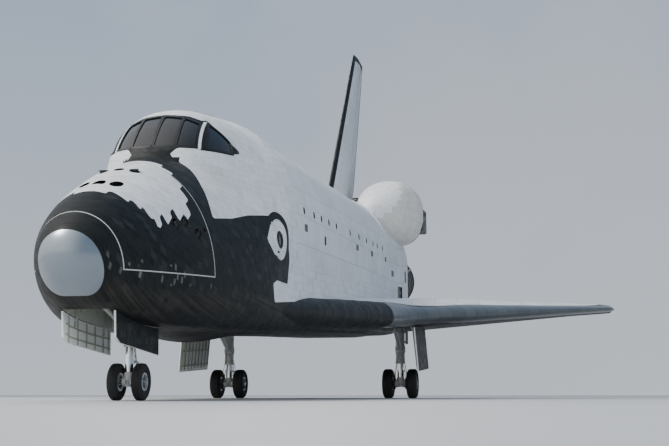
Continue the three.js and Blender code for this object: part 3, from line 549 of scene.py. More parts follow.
class Kit:
    """Collects many closed parts into one mesh; its own frame goes through transform."""

    def __init__(self, transform=W):
        self.T, self.v, self.f, self.m, self.n = transform, [], [], [], 0

    def add(self, v, f, mat=0):
        v = self.T(v)
        mid = v.mean(0)
        if tri_volume(v - mid, f) < 0:
            f = [tuple(reversed(q)) for q in f]
        self.v.append(v)
        self.f += [tuple(int(k) + self.n for k in q) for q in f]
        self.m += [mat] * len(f)
        self.n += len(v)
        return self

    def box(self, lo, hi, mat=0, c=0.0):
        """Box with chamfered edges when c > 0."""
        lo, hi = np.minimum(lo, hi).astype(float), np.maximum(lo, hi).astype(float)
        if c <= 0:
            v = [[(lo, hi)[(i >> k) & 1][k] for k in range(3)] for i in range(8)]
            return self.add(v, [(0, 2, 3, 1), (4, 5, 7, 6), (0, 1, 5, 4), (2, 6, 7, 3), (0, 4, 6, 2), (1, 3, 7, 5)], mat)
        c = min(c, (hi - lo).min() * 0.45)
        v, idx = [], {}
        for i in range(8):
            p = np.array([(lo, hi)[(i >> k) & 1][k] for k in range(3)])
            sgn = np.array([1 if (i >> k) & 1 else -1 for k in range(3)])
            for k in range(3):
                q = p - sgn * c
                q[k] = p[k]
                idx[i, k] = len(v)
                v.append(q)
        f = [tuple(idx[i, k] for k in range(3)) for i in range(8)]
        f = [t if bin(i).count("1") % 2 else t[::-1] for i, t in enumerate(f)]
        for k in range(3):
            a, b = [j for j in range(3) if j != k]
            for side in (0, 1):
                ring = [(0, 0), (1, 0), (1, 1), (0, 1)]
                q = [idx[(side << k) | (x << a) | (y << b), k] for x, y in ring]
                f.append(tuple(q) if (side == 1) ^ (k == 1) else tuple(q[::-1]))
        for k in range(3):
            a, b = [j for j in range(3) if j != k]
            for x in (0, 1):
                for y in (0, 1):
                    i0, i1 = (x << a) | (y << b), (1 << k) | (x << a) | (y << b)
                    q = [idx[i0, a], idx[i1, a], idx[i1, b], idx[i0, b]]
                    f.append(tuple(q))
        v = np.array(v)
        mid = v.mean(0)
        out = []
        for q in f:
            n = np.cross(v[q[1]] - v[q[0]], v[q[2]] - v[q[0]])
            out.append(q if n @ (v[list(q)].mean(0) - mid) > 0 else q[::-1])
        return self.add(v, out, mat)

    def cyl(self, a, b, ra, rb=None, n=28, mat=0, bevel=0.0):
        rb = ra if rb is None else rb
        a, b = np.array(a, float), np.array(b, float)
        h = np.linalg.norm(b - a)
        e = min(bevel, h * 0.3, ra * 0.6, rb * 0.6)
        p = [(0, 0), (0, ra - e), (e, ra), (h - e, rb), (h, rb - e), (h, 0)] if e > 0 else [(0, 0), (0, ra), (h, rb), (h, 0)]
        return self.add(*lathe_vf(a, b - a, p, n), mat)

    def lathe(self, o, d, prof, n=48, mat=0):
        return self.add(*lathe_vf(o, d, prof, n), mat)

    def tube(self, pts, r, n=10, mat=0):
        """Round bar along points, mitred."""
        pts = np.array(pts, float)
        t = np.gradient(pts, axis=0)
        t /= np.linalg.norm(t, axis=1)[:, None]
        u, w, _ = basis(t[0])
        rings = []
        a = np.linspace(0, 2 * math.pi, n, endpoint=False)
        for p, d in zip(pts, t):
            u = u - d * (u @ d)
            u /= np.linalg.norm(u)
            w = np.cross(d, u)
            rings.append(p + r * (np.cos(a)[:, None] * u + np.sin(a)[:, None] * w))
        return self.add(*loft(np.array(rings)), mat)

    def prism(self, pts, axis, lo, hi, mat=0):
        k = {"x": 0, "y": 1, "z": 2}[axis]
        rest = [i for i in range(3) if i != k]
        g = np.zeros((2, len(pts), 3))
        for i, h in enumerate((lo, hi)):
            g[i, :, k] = h
            g[i, :, rest[0]], g[i, :, rest[1]] = np.array(pts, float).T
        return self.add(*loft(g), mat)

    def ball(self, c, r, n=20, mat=0, squash=(1, 1, 1)):
        a = np.linspace(0, math.pi, n // 2 + 1)
        v, f = lathe_vf([0, 0, 0], [0, 0, 1], [(-math.cos(x), math.sin(x) if 0 < i < n // 2 else 0) for i, x in enumerate(a)], n)
        return self.add(v * r * np.array(squash) + np.array(c, float), f, mat)

    def torus(self, c, d, R, r, n=48, k=12, mat=0):
        a = np.linspace(0, 2 * math.pi, k, endpoint=False)
        return self.add(*lathe_vf(c, d, [(r * math.sin(x), R + r * math.cos(x)) for x in a], n), mat)

    def object(self, name, mats, body, slot=None, replaces=(), angle=35, bevel=0.0):
        o = add_object(name, new_mesh(name, np.concatenate(self.v), self.f, self.m))
        for m in mats:
            o.data.materials.append(m)
        by_angle(o, angle)
        if bevel:
            b = o.modifiers.new("edges", "BEVEL")
            b.width, b.segments, b.limit_method, b.angle_limit = bevel * IN, 2, "ANGLE", math.radians(40)
            b.harden_normals = True
        return finish(o, name, body, replaces)


def curve(pts, n=24):
    """Smooth points through a few."""
    pts = np.array(pts, float)
    s = np.concatenate([[0], np.cumsum(np.linalg.norm(np.diff(pts, axis=0), axis=1))])
    q = np.linspace(0, s[-1], n)
    return np.stack([pchip(s, pts[:, k], q) for k in range(3)], 1)


def rounded(pts, r, n=5):
    """Outline with round corners."""
    pts, out = np.array(pts, float), []
    for i in range(len(pts)):
        p, a, b = pts[i], pts[i - 1], pts[(i + 1) % len(pts)]
        u, v = (a - p) / np.linalg.norm(a - p), (b - p) / np.linalg.norm(b - p)
        k = min(r / max(math.tan(math.acos(np.clip(u @ v, -1, 1)) / 2), 0.1), np.linalg.norm(a - p) * 0.45, np.linalg.norm(b - p) * 0.45)
        for t in np.linspace(0, 1, n):
            out.append((1 - t) ** 2 * (p + u * k) + 2 * t * (1 - t) * p + t**2 * (p + v * k))
    return out


def offset(pts, g):
    """Outline moved outwards by g."""
    pts = np.array(pts, float)
    n = len(pts)
    area = sum(pts[i][0] * pts[(i + 1) % n][1] - pts[(i + 1) % n][0] * pts[i][1] for i in range(n))
    turn, out = (1 if area > 0 else -1), []
    for i in range(n):
        p, a, b = pts[i], pts[i - 1], pts[(i + 1) % n]
        u, v = (p - a) / np.linalg.norm(p - a), (b - p) / np.linalg.norm(b - p)
        nu, nv = np.array([u[1], -u[0]]) * turn, np.array([v[1], -v[0]]) * turn
        out.append(p + (nu + nv) * g / max(1 + nu @ nv, 0.2))
    return out


def sdf(P, poly):
    """Signed distance to an outline, negative inside."""
    P, poly = np.asarray(P, float), np.asarray(poly, float)
    d, inside = np.full(len(P), 1e9), np.zeros(len(P), bool)
    for a, b in zip(poly, np.roll(poly, -1, 0)):
        e = b - a
        t = np.clip(((P - a) @ e) / max(e @ e, 1e-9), 0, 1)
        d = np.minimum(d, np.linalg.norm(P - a - t[:, None] * e, axis=1))
        c = (a[1] > P[:, 1]) != (b[1] > P[:, 1])
        with np.errstate(divide="ignore", invalid="ignore"):
            x = (b[0] - a[0]) * (P[:, 1] - a[1]) / (b[1] - a[1]) + a[0]
        inside ^= c & (P[:, 0] < x)
    return np.where(inside, -d, d)

# ------------------------------------------------------------------ materials
class V:
    """A number in a node tree, with arithmetic."""

    def __init__(self, g, s):
        self.g, self.s = g, s

    def __add__(self, o): return self.g.math("ADD", self, o)
    def __radd__(self, o): return self.g.math("ADD", self, o)
    def __sub__(self, o): return self.g.math("SUBTRACT", self, o)
    def __rsub__(self, o): return self.g.math("SUBTRACT", o, self)
    def __mul__(self, o): return self.g.math("MULTIPLY", self, o)
    def __rmul__(self, o): return self.g.math("MULTIPLY", self, o)
    def __truediv__(self, o): return self.g.math("DIVIDE", self, o)
    def floor(self): return self.g.math("FLOOR", self)
    def fract(self): return self.g.math("FRACT", self)
    def lt(self, o): return self.g.math("LESS_THAN", self, o)
    def gt(self, o): return self.g.math("GREATER_THAN", self, o)
    def min(self, o): return self.g.math("MINIMUM", self, o)
    def max(self, o): return self.g.math("MAXIMUM", self, o)
    def abs(self): return self.g.math("ABSOLUTE", self)
    def sin(self): return self.g.math("SINE", self)
    def pow(self, o): return self.g.math("POWER", self, o)
    def clamp(self): return self.g.math("ADD", self, 0.0, clamp=True)


class Nodes:
    """A small builder for one procedural material."""

    def __init__(self, name, **consts):
        self.mat = bpy.data.materials.new(name)
        self.mat.use_nodes = True
        self.t = self.mat.node_tree
        self.t.nodes.clear()
        out = self.t.nodes.new("ShaderNodeOutputMaterial")
        self.b = self.t.nodes.new("ShaderNodeBsdfPrincipled")
        self.t.links.new(self.b.outputs[0], out.inputs[0])
        for k, v in consts.items():
            self.set(k.replace("_", " "), v)

    def set(self, key, value):
        s = self.b.inputs[key]
        if isinstance(value, V):
            self.t.links.new(value.s, s)
        elif isinstance(value, tuple):
            s.default_value = (*value, 1.0) if len(value) == 3 else value
        else:
            s.default_value = value

    def put(self, sock, value):
        if isinstance(value, V):
            self.t.links.new(value.s, sock)
        elif isinstance(value, tuple):
            sock.default_value = (*value, 1.0) if len(sock.default_value) == 4 and len(value) == 3 else value
        else:
            sock.default_value = value

    def math(self, op, a, b=0.0, c=None, clamp=False):
        n = self.t.nodes.new("ShaderNodeMath")
        n.operation, n.use_clamp = op, clamp
        self.put(n.inputs[0], a)
        self.put(n.inputs[1], b)
        if c is not None:
            self.put(n.inputs[2], c)
        return V(self, n.outputs[0])

    def attr(self, name):
        n = self.t.nodes.new("ShaderNodeAttribute")
        n.attribute_name = name
        s = self.t.nodes.new("ShaderNodeSeparateXYZ")
        self.t.links.new(n.outputs["Vector"], s.inputs[0])
        return [V(self, o) for o in s.outputs]

    def place(self):
        n = self.t.nodes.new("ShaderNodeTexCoord")
        return V(self, n.outputs["Object"])

    def xyz(self, v):
        s = self.t.nodes.new("ShaderNodeSeparateXYZ")
        self.t.links.new(v.s, s.inputs[0])
        return [V(self, o) for o in s.outputs]

    def join(self, x, y, z=0.0):
        n = self.t.nodes.new("ShaderNodeCombineXYZ")
        for i, a in enumerate((x, y, z)):
            self.put(n.inputs[i], a)
        return V(self, n.outputs[0])

    def noise(self, vec, scale, detail=3.0, rough=0.55):
        n = self.t.nodes.new("ShaderNodeTexNoise")
        self.put(n.inputs["Vector"], vec)
        n.inputs["Scale"].default_value = scale
        n.inputs["Detail"].default_value = detail
        n.inputs["Roughness"].default_value = rough
        return V(self, n.outputs[0])

    def white(self, vec):
        n = self.t.nodes.new("ShaderNodeTexWhiteNoise")
        n.noise_dimensions = "3D"
        self.put(n.inputs["Vector"], vec)
        s = self.t.nodes.new("ShaderNodeSeparateColor")
        self.t.links.new(n.outputs["Color"], s.inputs[0])
        return [V(self, o) for o in s.outputs]

    def voronoi(self, vec, scale, feature="F1"):
        n = self.t.nodes.new("ShaderNodeTexVoronoi")
        n.feature = feature
        self.put(n.inputs["Vector"], vec)
        n.inputs["Scale"].default_value = scale
        return V(self, n.outputs["Distance"])

    def step(self, x, lo, hi, smooth=True):
        n = self.t.nodes.new("ShaderNodeMapRange")
        n.interpolation_type = "SMOOTHSTEP" if smooth else "LINEAR"
        self.put(n.inputs["Value"], x)
        n.inputs["From Min"].default_value, n.inputs["From Max"].default_value = lo, hi
        return V(self, n.outputs[0])

    def map(self, x, a, b, lo, hi):
        n = self.t.nodes.new("ShaderNodeMapRange")
        self.put(n.inputs["Value"], x)
        for k, v in zip(("From Min", "From Max", "To Min", "To Max"), (a, b, lo, hi)):
            n.inputs[k].default_value = v
        return V(self, n.outputs[0])

    def mix(self, f, a, b):
        n = self.t.nodes.new("ShaderNodeMix")
        n.data_type = "RGBA"
        self.put(n.inputs[0], f)
        self.put(n.inputs[6], a)
        self.put(n.inputs[7], b)
        return V(self, n.outputs[2])

    def mixf(self, f, a, b):
        n = self.t.nodes.new("ShaderNodeMix")
        n.data_type = "FLOAT"
        self.put(n.inputs[0], f)
        self.put(n.inputs[2], a)
        self.put(n.inputs[3], b)
        return V(self, n.outputs[0])

    def tint(self, color, k):
        """Colour times a number."""
        n = self.t.nodes.new("ShaderNodeVectorMath")
        n.operation = "SCALE"
        self.put(n.inputs[0], color if isinstance(color, V) else tuple(color[:3]))
        self.put(n.inputs["Scale"], k)
        return V(self, n.outputs[0])

    def bump(self, height, strength=1.0):
        """Height in metres."""
        n = self.t.nodes.new("ShaderNodeBump")
        n.inputs["Strength"].default_value = strength
        n.inputs["Distance"].default_value = 1.0
        self.put(n.inputs["Height"], height)
        self.set("Normal", V(self, n.outputs[0]))


def cells(g, X, s, size, stagger, seed):
    """Square tiles: place inside the tile, distance to its edge (inches), three random numbers."""
    v = s / size
    row = v.floor()
    u = X / size + row * stagger
    col = u.floor()
    fu, fv = u - col, v - row
    edge = (fu.min(1 - fu)).min(fv.min(1 - fv)) * size
    return fu, fv, edge, g.white(g.join(col, row, seed))


def skin_material(name, base_white=(0.63, 0.655, 0.685)):
    g = Nodes(name)
    X, s, _ = g.attr("tile")
    # third paint number: weight of painted glints (+) or of real brown stains (-)
    d, zone, glint_and_stain = g.attr("paint")
    place = g.place()
    big, fine = g.noise(place, 0.35, 4), g.noise(place, 6.0, 5, 0.65)
    # black tiles
    fu, fv, edge, (r0, r1, r2) = cells(g, X, s, 6.0, 0.5, 1.0)
    # painted highlight: pale dashes on some black tiles stand in for light glinting off tile facets
    painted_glint = glint_and_stain.max(0.0)
    glint_dash = g.step(r1 + painted_glint * 0.72, 0.98, 1.02) * g.step(fu, 0.10, 0.26) * g.step(1 - fu, 0.38, 0.56) * g.step(fv.min(1 - fv), 0.02, 0.12)
    cb = g.mix(r0 * 0.8, (0.0080, 0.0100, 0.0112), (0.0150, 0.0175, 0.0182))
    cb = g.mix(r2.gt(0.91) * 0.7, cb, (0.027, 0.030, 0.032))
    wash = g.noise(g.join(X * 0.010, s * 0.34, 3.0), 1.0, 4, 0.6)
    cb = g.mix(g.step(wash, 0.36, 0.68) * (0 - glint_and_stain).max(0.0) * 0.8, cb, (0.046, 0.039, 0.029))
    cb = g.mix(g.step(big, 0.45, 0.75) * 0.22, cb, (0.022, 0.024, 0.021))
    # pale colour of the painted glints
    cb = g.mix(glint_dash * (r2 * 0.45 + 0.42) * painted_glint.min(1.0), cb, (0.335, 0.350, 0.310))
    gap_b = g.step(edge, 0.04, 0.16)
    cb = g.mix((1 - gap_b) * 0.8, cb, (0.026, 0.027, 0.025))
    # white tiles
    gu, gv, wedge, (w0, w1, w2) = cells(g, X, s, 8.0, 0.5, 2.0)
    cw = g.tint(base_white, w0 * 0.10 + 0.94)
    cw = g.mix(w1.gt(0.88) * 0.35, cw, (0.46, 0.455, 0.42))
    gap_w = g.step(wedge, 0.05, 0.20)
    cw = g.mix((1 - gap_w) * 0.6, cw, (0.24, 0.245, 0.25))
    # quilted blankets
    hu, hv, qedge, (q0, q1, q2) = cells(g, X, s, 31.0, 0.5, 3.0)
    cq = g.tint(tuple(c * 0.985 for c in base_white), q0 * 0.09 + 0.945)
    cq = g.mix(g.step(fine, 0.5, 0.8) * 0.22, cq, (0.45, 0.45, 0.43))
    stitch = ((X * 3.14159).sin().abs().pow(0.35)) * ((s * 3.14159).sin().abs().pow(0.35))
    gap_q = g.step(qedge, 0.08, 0.45)
    cq = g.mix((1 - gap_q) * 0.6, cq, (0.25, 0.255, 0.26))
    soft = zone.lt(0.0)
    white = g.mix(soft, cw, cq)
    grime = g.step(g.noise(g.join(X * 0.006, s * 0.02, 8.0), 1.0, 5, 0.6), 0.45, 0.8)
    white = g.mix(grime * 0.42, white, (0.37, 0.37, 0.35))
    white = g.mix(g.step(fine * 0.6 + big * 0.4, 0.55, 0.72) * 0.25, white, (0.38, 0.385, 0.39))
    dark = d.lt(0.0)
    g.set("Base Color", g.mix(dark, white, cb))
    rough_b = g.map(r1, 0, 1, 0.42, 0.60) + (1 - gap_b) * 0.2
    rough_w = g.mixf(soft, w2 * 0.15 + 0.58, 0.82)
    g.set("Roughness", g.mixf(dark, rough_w, rough_b) + fine * 0.10 - 0.05)
    g.set("Specular IOR Level", g.mixf(dark, 0.28, r1 * 0.08 + 0.12))
    hb = gap_b * 0.0022 + (fu - 0.5) * (r2 - 0.5) * 0.0032 + (fv - 0.5) * (r0 - 0.5) * 0.0032
    hw = gap_w * 0.0020 + (gu - 0.5) * (w2 - 0.5) * 0.0018 + (gv - 0.5) * (w0 - 0.5) * 0.0018
    hq = gap_q * 0.006 + stitch * 0.0022 + g.noise(place, 2.2, 2) * 0.006
    g.bump(g.mixf(dark, g.mixf(soft, hw, hq), hb) + fine * 0.0006, 0.9)
    return g.mat


def plain(name, color, rough=0.5, metal=0.0, vary=0.12, scale=3.0, bump=0.0004, fine=40.0, dirt=0.25, dirt_color=None, **more):
    """Paint or metal with mottling, dirt and a fine grain."""
    g = Nodes(name, Metallic=metal, **more)
    p = g.place()
    a, b, c = g.noise(p, scale, 4), g.noise(p, fine, 3), g.noise(p, scale * 0.3, 5, 0.65)
    col = g.tint(color, a * (2 * vary) + (1 - vary))
    col = g.mix(g.step(c, 0.48, 0.8) * dirt, col, dirt_color or tuple(x * 0.35 + 0.02 for x in color))
    g.set("Base Color", col)
    g.set("Roughness", (b * 0.16 + a * 0.12 + (rough - 0.14)).clamp())
    g.bump(b * bump + a * bump * 2, 1.0)
    return g.mat


def carbon_material():
    g = Nodes("carbon_edge", Specular_IOR_Level=0.55, Coat_Weight=0.35, Coat_Roughness=0.22)
    p = g.place()
    X, s, _ = g.attr("tile")
    n, f = g.noise(p, 1.1, 5, 0.6), g.noise(p, 18.0, 4)
    panel = g.white(g.join((s / 25.0).floor(), 0.0, 5.0))[0]
    col = g.mix(n, (0.049, 0.058, 0.064), (0.090, 0.104, 0.112))
    col = g.tint(col, panel * 0.22 + 0.88)
    col = g.mix(g.step(f, 0.55, 0.8) * 0.35, col, (0.055, 0.062, 0.064))
    g.set("Base Color", col)
    g.set("Roughness", n * 0.16 + f * 0.10 + 0.26)
    g.bump(f * 0.0006 + n * 0.002, 0.8)
    return g.mat


def cap_material():
    g = Nodes("nose_gloss", Metallic=0.7, Specular_IOR_Level=0.6, Coat_Weight=0.6, Coat_Roughness=0.1)
    p = g.place()
    n, f = g.noise(p, 1.6, 5, 0.6), g.noise(p, 26.0, 3)
    col = g.mix(n, (0.205, 0.25, 0.295), (0.285, 0.33, 0.372))
    col = g.mix(g.step(f, 0.56, 0.8) * 0.18, col, (0.20, 0.235, 0.27))
    g.set("Base Color", col)
    g.set("Roughness", n * 0.10 + f * 0.06 + 0.24)
    g.bump(f * 0.00025 + n * 0.0012, 0.7)
    return g.mat


def bell_material(name, warm):
    """Tube-walled nozzle: fine lengthwise ribs, heat colours from throat to lip."""
    g = Nodes(name, Metallic=0.85)
    s, a, _ = g.attr("tile")                      # along the bell 0..1, turns round it
    p = g.place()
    n, f = g.noise(p, 2.5, 5, 0.6), g.noise(p, 30.0, 3)
    ribs = (a * (6.28318 * 270)).sin()
    col = g.mix(s, (0.16, 0.135, 0.115), (0.40, 0.375, 0.34) if warm else (0.30, 0.30, 0.31))
    col = g.mix(g.step(n, 0.45, 0.75) * 0.5, col, (0.20, 0.16, 0.17))
    col = g.mix(g.step(g.noise(g.join(a * 40, s * 1.5, 0.0), 1.0, 4), 0.5, 0.8) * 0.5, col, (0.11, 0.085, 0.065))
    col = g.tint(col, ribs * 0.06 + 0.94)
    g.set("Base Color", col)
    g.set("Roughness", n * 0.2 + f * 0.12 + 0.26)
    g.bump(ribs * 0.0009 + f * 0.0004, 0.8)
    return g.mat


def glass_material():
    g = Nodes("window_pane", Specular_IOR_Level=0.42, IOR=1.5, Transmission_Weight=0.55, Coat_Weight=0.2, Coat_Roughness=0.03)
    p = g.place()
    n = g.noise(p, 7.0, 4)
    g.set("Base Color", g.mix(n, (0.020, 0.023, 0.027), (0.042, 0.047, 0.052)))
    g.set("Roughness", g.step(n, 0.3, 0.9) * 0.07 + 0.02)
    g.bump(n * 0.0004, 0.5)
    return g.mat


def rubber_material():
    g = Nodes("tyre_black", Specular_IOR_Level=0.35)
    p = g.place()
    n, f = g.noise(p, 9.0, 5, 0.65), g.noise(p, 90.0, 3)
    col = g.mix(n, (0.013, 0.013, 0.014), (0.030, 0.030, 0.030))
    col = g.mix(g.step(g.noise(p, 3.0, 4), 0.5, 0.8) * 0.45, col, (0.075, 0.070, 0.062))
    g.set("Base Color", col)
    g.set("Roughness", n * 0.2 + 0.62)
    g.bump(f * 0.0008 + n * 0.0016, 0.8)
    return g.mat


def liner_material(name, color, panel):
    """Quilted liner with sewn squares, coordinates in inches."""
    g = Nodes(name)
    X, s, _ = g.attr("tile")
    p = g.place()
    fu, fv, edge, (r0, r1, r2) = cells(g, X, s, panel, 0.0, 6.0)
    n, f = g.noise(p, 5.0, 4), g.noise(p, 45.0, 3)
    gap = g.step(edge, 0.15, 0.6)
    col = g.tint(color, r0 * 0.12 + 0.90)
    col = g.mix((1 - gap) * 0.6, col, tuple(c * 0.4 for c in color))
    col = g.mix(g.step(n, 0.5, 0.8) * 0.22, col, tuple(c * 0.6 for c in color))
    g.set("Base Color", col)
    g.set("Roughness", r1 * 0.12 + f * 0.1 + 0.62)
    g.bump(gap * 0.006 + n * 0.006 + f * 0.0005, 0.8)
    return g.mat


def radiator_material():
    g = Nodes("radiator_silver", Metallic=0.9)
    X, s, _ = g.attr("tile")
    p = g.place()
    f = g.noise(p, 30.0, 3)
    n = g.noise(p, 1.4, 4)
    tube = ((s / 2.0).fract() - 0.5).abs()
    seam = g.step(((X / 90.5).fract() - 0.5).abs(), 0.494, 0.4985)
    col = g.mix(n, (0.60, 0.63, 0.66), (0.78, 0.79, 0.80))
    col = g.mix(g.step(tube, 0.40, 0.5) * 0.35, col, (0.40, 0.42, 0.45))
    col = g.mix(seam, col, (0.16, 0.16, 0.17))
    g.set("Base Color", col)
    g.set("Roughness", n * 0.15 + f * 0.08 + 0.16)
    g.bump(g.step(tube, 0.34, 0.5) * 0.0015 - seam * 0.003, 0.8)
    return g.mat


def fabric_material(name, a, b):
    g = Nodes(name, Sheen_Weight=0.3)
    p = g.place()
    x, y, z = g.xyz(p)
    w = ((x * 900).sin() * (y * 900).sin()) * 0.5 + ((z * 900).sin() * (y * 900).sin()) * 0.5
    n = g.noise(p, 14.0, 4)
    g.set("Base Color", g.mix(n * 0.7 + w * 0.15, a, b))
    g.set("Roughness", n * 0.1 + 0.8)
    g.bump(w * 0.0004 + n * 0.002, 0.8)
    return g.mat


SKIN = skin_material("skin_tiles")
CARBON, CAP, GLASS, RUBBER = carbon_material(), cap_material(), glass_material(), rubber_material()
BELL, BELL2 = bell_material("bell_tubes", True), bell_material("bell_plain", False)
PRIMER = plain("primer_green", (0.34, 0.38, 0.29), 0.55, 0.0, 0.14, 2.0, 0.0006, 30.0, 0.35)
WELL = plain("well_paint", (0.50, 0.52, 0.47), 0.55, 0.0, 0.15, 1.6, 0.0006, 25.0, 0.4)
GEAR = plain("gear_grey", (0.60, 0.62, 0.62), 0.34, 0.0, 0.08, 4.0, 0.0002, 60.0, 0.25, (0.16, 0.14, 0.11), Coat_Weight=0.3)
CHROME = plain("polished_rod", (0.80, 0.80, 0.80), 0.17, 1.0, 0.04, 6.0, 0.00005, 80.0, 0.10, (0.45, 0.42, 0.38))
STEEL = plain("bare_steel", (0.42, 0.42, 0.41), 0.36, 0.95, 0.14, 5.0, 0.0002, 70.0, 0.3, (0.18, 0.15, 0.12))
ALLOY = plain("wheel_alloy", (0.56, 0.56, 0.55), 0.36, 0.85, 0.10, 6.0, 0.0002, 80.0, 0.35, (0.12, 0.105, 0.09))
DARK = plain("dark_metal", (0.045, 0.045, 0.048), 0.45, 0.6, 0.2, 5.0, 0.0002, 60.0, 0.3, (0.09, 0.08, 0.07))
HOSE = plain("hose_black", (0.020, 0.020, 0.022), 0.55, 0.0, 0.2, 12.0, 0.0003, 90.0, 0.3, (0.06, 0.055, 0.05))
HEAT = plain("heat_blanket", (0.44, 0.41, 0.36), 0.6, 0.15, 0.18, 3.0, 0.003, 9.0, 0.35, (0.14, 0.11, 0.085))
PORT = plain("port_black", (0.014, 0.014, 0.015), 0.42, 0.2, 0.25, 12.0, 0.0003, 60.0, 0.3, (0.05, 0.045, 0.04))
SEAL = plain("seal_grey", (0.20, 0.21, 0.22), 0.6, 0.0, 0.12, 8.0, 0.0004, 60.0, 0.2)
WHITE_PAINT = plain("bright_white", (0.80, 0.80, 0.79), 0.42, 0.0, 0.05, 3.0, 0.0005, 30.0, 0.12, (0.5, 0.48, 0.44))
SAND = plain("sand_edge", (0.62, 0.56, 0.40), 0.55, 0.0, 0.1, 5.0, 0.0005, 30.0, 0.25, (0.36, 0.31, 0.2))
COPPER = plain("pipe_bronze", (0.40, 0.31, 0.20), 0.34, 0.9, 0.15, 6.0, 0.0002, 60.0, 0.35, (0.16, 0.11, 0.07))
PANEL = plain("panel_grey", (0.30, 0.32, 0.31), 0.5, 0.0, 0.08, 8.0, 0.0003, 60.0, 0.15)
LINER = liner_material("bay_liner", (0.66, 0.65, 0.60), 29.0)
RADIATOR = radiator_material()
SEAT = fabric_material("seat_weave", (0.045, 0.055, 0.07), (0.09, 0.105, 0.125))
STRAP = fabric_material("strap_weave", (0.30, 0.30, 0.27), (0.42, 0.42, 0.38))
SCREEN = Nodes("screen_face", Roughness=0.15)
SCREEN.set("Base Color", SCREEN.mix(SCREEN.noise(SCREEN.place(), 50.0, 2), (0.01, 0.03, 0.03), (0.02, 0.07, 0.06)))
SCREEN = SCREEN.mat

# ------------------------------------------------------------------ windows, seams and paint plan
FRONT_WINDOWS = [("windscreen_centre", 474.0, [(2, 452), (20, 452), (18.5, 483), (2, 485)]),
                 ("windscreen_middle", 478.0, [(23, 452), (38, 452), (34.5, 477), (21.5, 482.5)])]
SIDE_WINDOW = [(455, 451), (490, 451), (493, 461), (479, 477)]
ROOF_WINDOW = [(515, 8), (545, 8), (545, 29), (515, 27)]
MODULE = [(271, 328), (383, 326), (383, 470), (234, 470)]


def ahead(g, mat):
    """Everything ahead of the nose cap joint, moved aft by g."""
    return prism([(215, 270), (281 + g, 270), (227.2 + g, 400), (215, 400)], "y", -70, 70, mat)


BLACK_SIDE = [(200, 150), (200, 650), (434, 650), (434, 441), (427, 427), (415, 411), (404, 391), (399, 379), (436, 382),
              (470, 388), (503, 391), (540, 393), (553, 380), (553, 340), (506, 325), (510, 307), (581, 309), (700, 312),
              (940, 318), (1060, 312), (1200, 300), (1530, 288), (1530, 150)]
RING_TAIL = [(540, 392), (553, 378), (560, 352), (552, 326), (506, 329), (530, 336)]
PATCH = [(290, -10), (290, 14), (296, 14), (296, 30), (302, 30), (302, 38), (307, 38), (307, 45), (312, 45), (312, 50.5),
         (319, 50.5), (319, 48), (325, 48), (325, 53), (336, 53), (336, 51), (343, 51), (343, 57), (356, 57), (356, 60), (365, 60),
         (365, 55), (373, 55), (373, 47), (381, 47), (381, 36), (389, 36), (389, 24), (397, 24), (397, -10)]


def fuselage_paint(p):
    """Distance into the white paint (negative: black), tile size zone, painted glints on the black tiles (+) or brown
    streaks (-).
    """
    X, y, z = p[:, 0], np.abs(p[:, 1]), p[:, 2]
    d = sdf(p[:, [0, 2]], BLACK_SIDE)
    ring = np.hypot(X - HATCH[0], z - HATCH[1])
    ringed = np.minimum(np.minimum(d, ring - 28), sdf(p[:, [0, 2]], RING_TAIL))
    lens = np.minimum(ring - 20.4, sdf(np.stack([X, z], 1), [(497, 367), (515, 350), (515, 386)]))
    d = np.where(p[:, 1] > 60, np.maximum(ringed, -lens), d)
    # cockpit top is white, with black round the windows
    top = (z > 441) & (X > 424)
    mask = sdf(np.stack([y, z], 1), [(-10, 440), (16, 440), (24, 449.4), (42.4, 449.4), (39.2, 480), (23, 486), (-10, 488.5)])
    front = np.maximum(mask, X - 482)
    side = sdf(p[:, [0, 2]], offset(SIDE_WINDOW, 2.9))
    side = np.minimum(side, sdf(p[:, [0, 2]], [(486, 449), (506, 452), (504, 456), (490, 463)]))
    side = np.maximum(side, 34 - y)
    roof = sdf(np.stack([X, y], 1), offset(ROOF_WINDOW, 2.5))
    roof = np.maximum(roof, 485 - z)
    glass = np.minimum(np.minimum(front, side), roof)
    glass = np.minimum(glass, np.maximum(np.maximum(y - 46, X - 484), np.maximum(449.4 - z, 36 - y)))
    d = np.where(top, np.minimum(np.maximum(d, 440 - X), glass), d)
    # white area on top of the nose
    d = np.where((z > 362) & (X < 426), np.maximum(d, -sdf(np.stack([X, y], 1), PATCH)), d)
    zone = np.where((X > 600) & (z > 345), -1.0, 1.0)
    # painted glints under the nose and on the forward belly (pale dashes standing in for light caught by tile facets),
    # brown streaks along the chine
    painted_glint = np.clip((352 - X) / 50, 0, 1) * np.clip((325 - z) / 10, 0, 1)
    painted_glint = np.maximum(painted_glint, 0.42 * np.clip((395 - X) / 20, 0, 1) * np.clip((345 - z) / 12, 0, 1))
    # painted glints in a wavy band over the forward belly
    belly = 0.55 * (0.5 + 0.5 * np.sin(X / 17.0) * np.cos(y / 13.0 + X / 41.0))
    painted_glint = np.maximum(painted_glint, belly * np.clip((640 - X) / 60, 0, 1) * np.clip((294 - z) / 6, 0, 1))
    middle = 301 + 15 * np.exp((258 - X) / 16)
    streak = np.clip((X - 258) / 10, 0, 1) * np.clip(1.25 - np.abs(z - middle) / 15, 0, 1) * np.clip((1100 - X) / 300, 0, 1)
    painted_glint = np.where(streak > 0.3, 0, painted_glint)
    return np.stack([d, zone, painted_glint - streak], 1)


def skin_attrs(o):
    p = WI(co_of(o.data))
    attr(o, "tile", np.stack([p[:, 0], girth(p), np.zeros(len(p))], 1))
    attr(o, "paint", fuselage_paint(p))


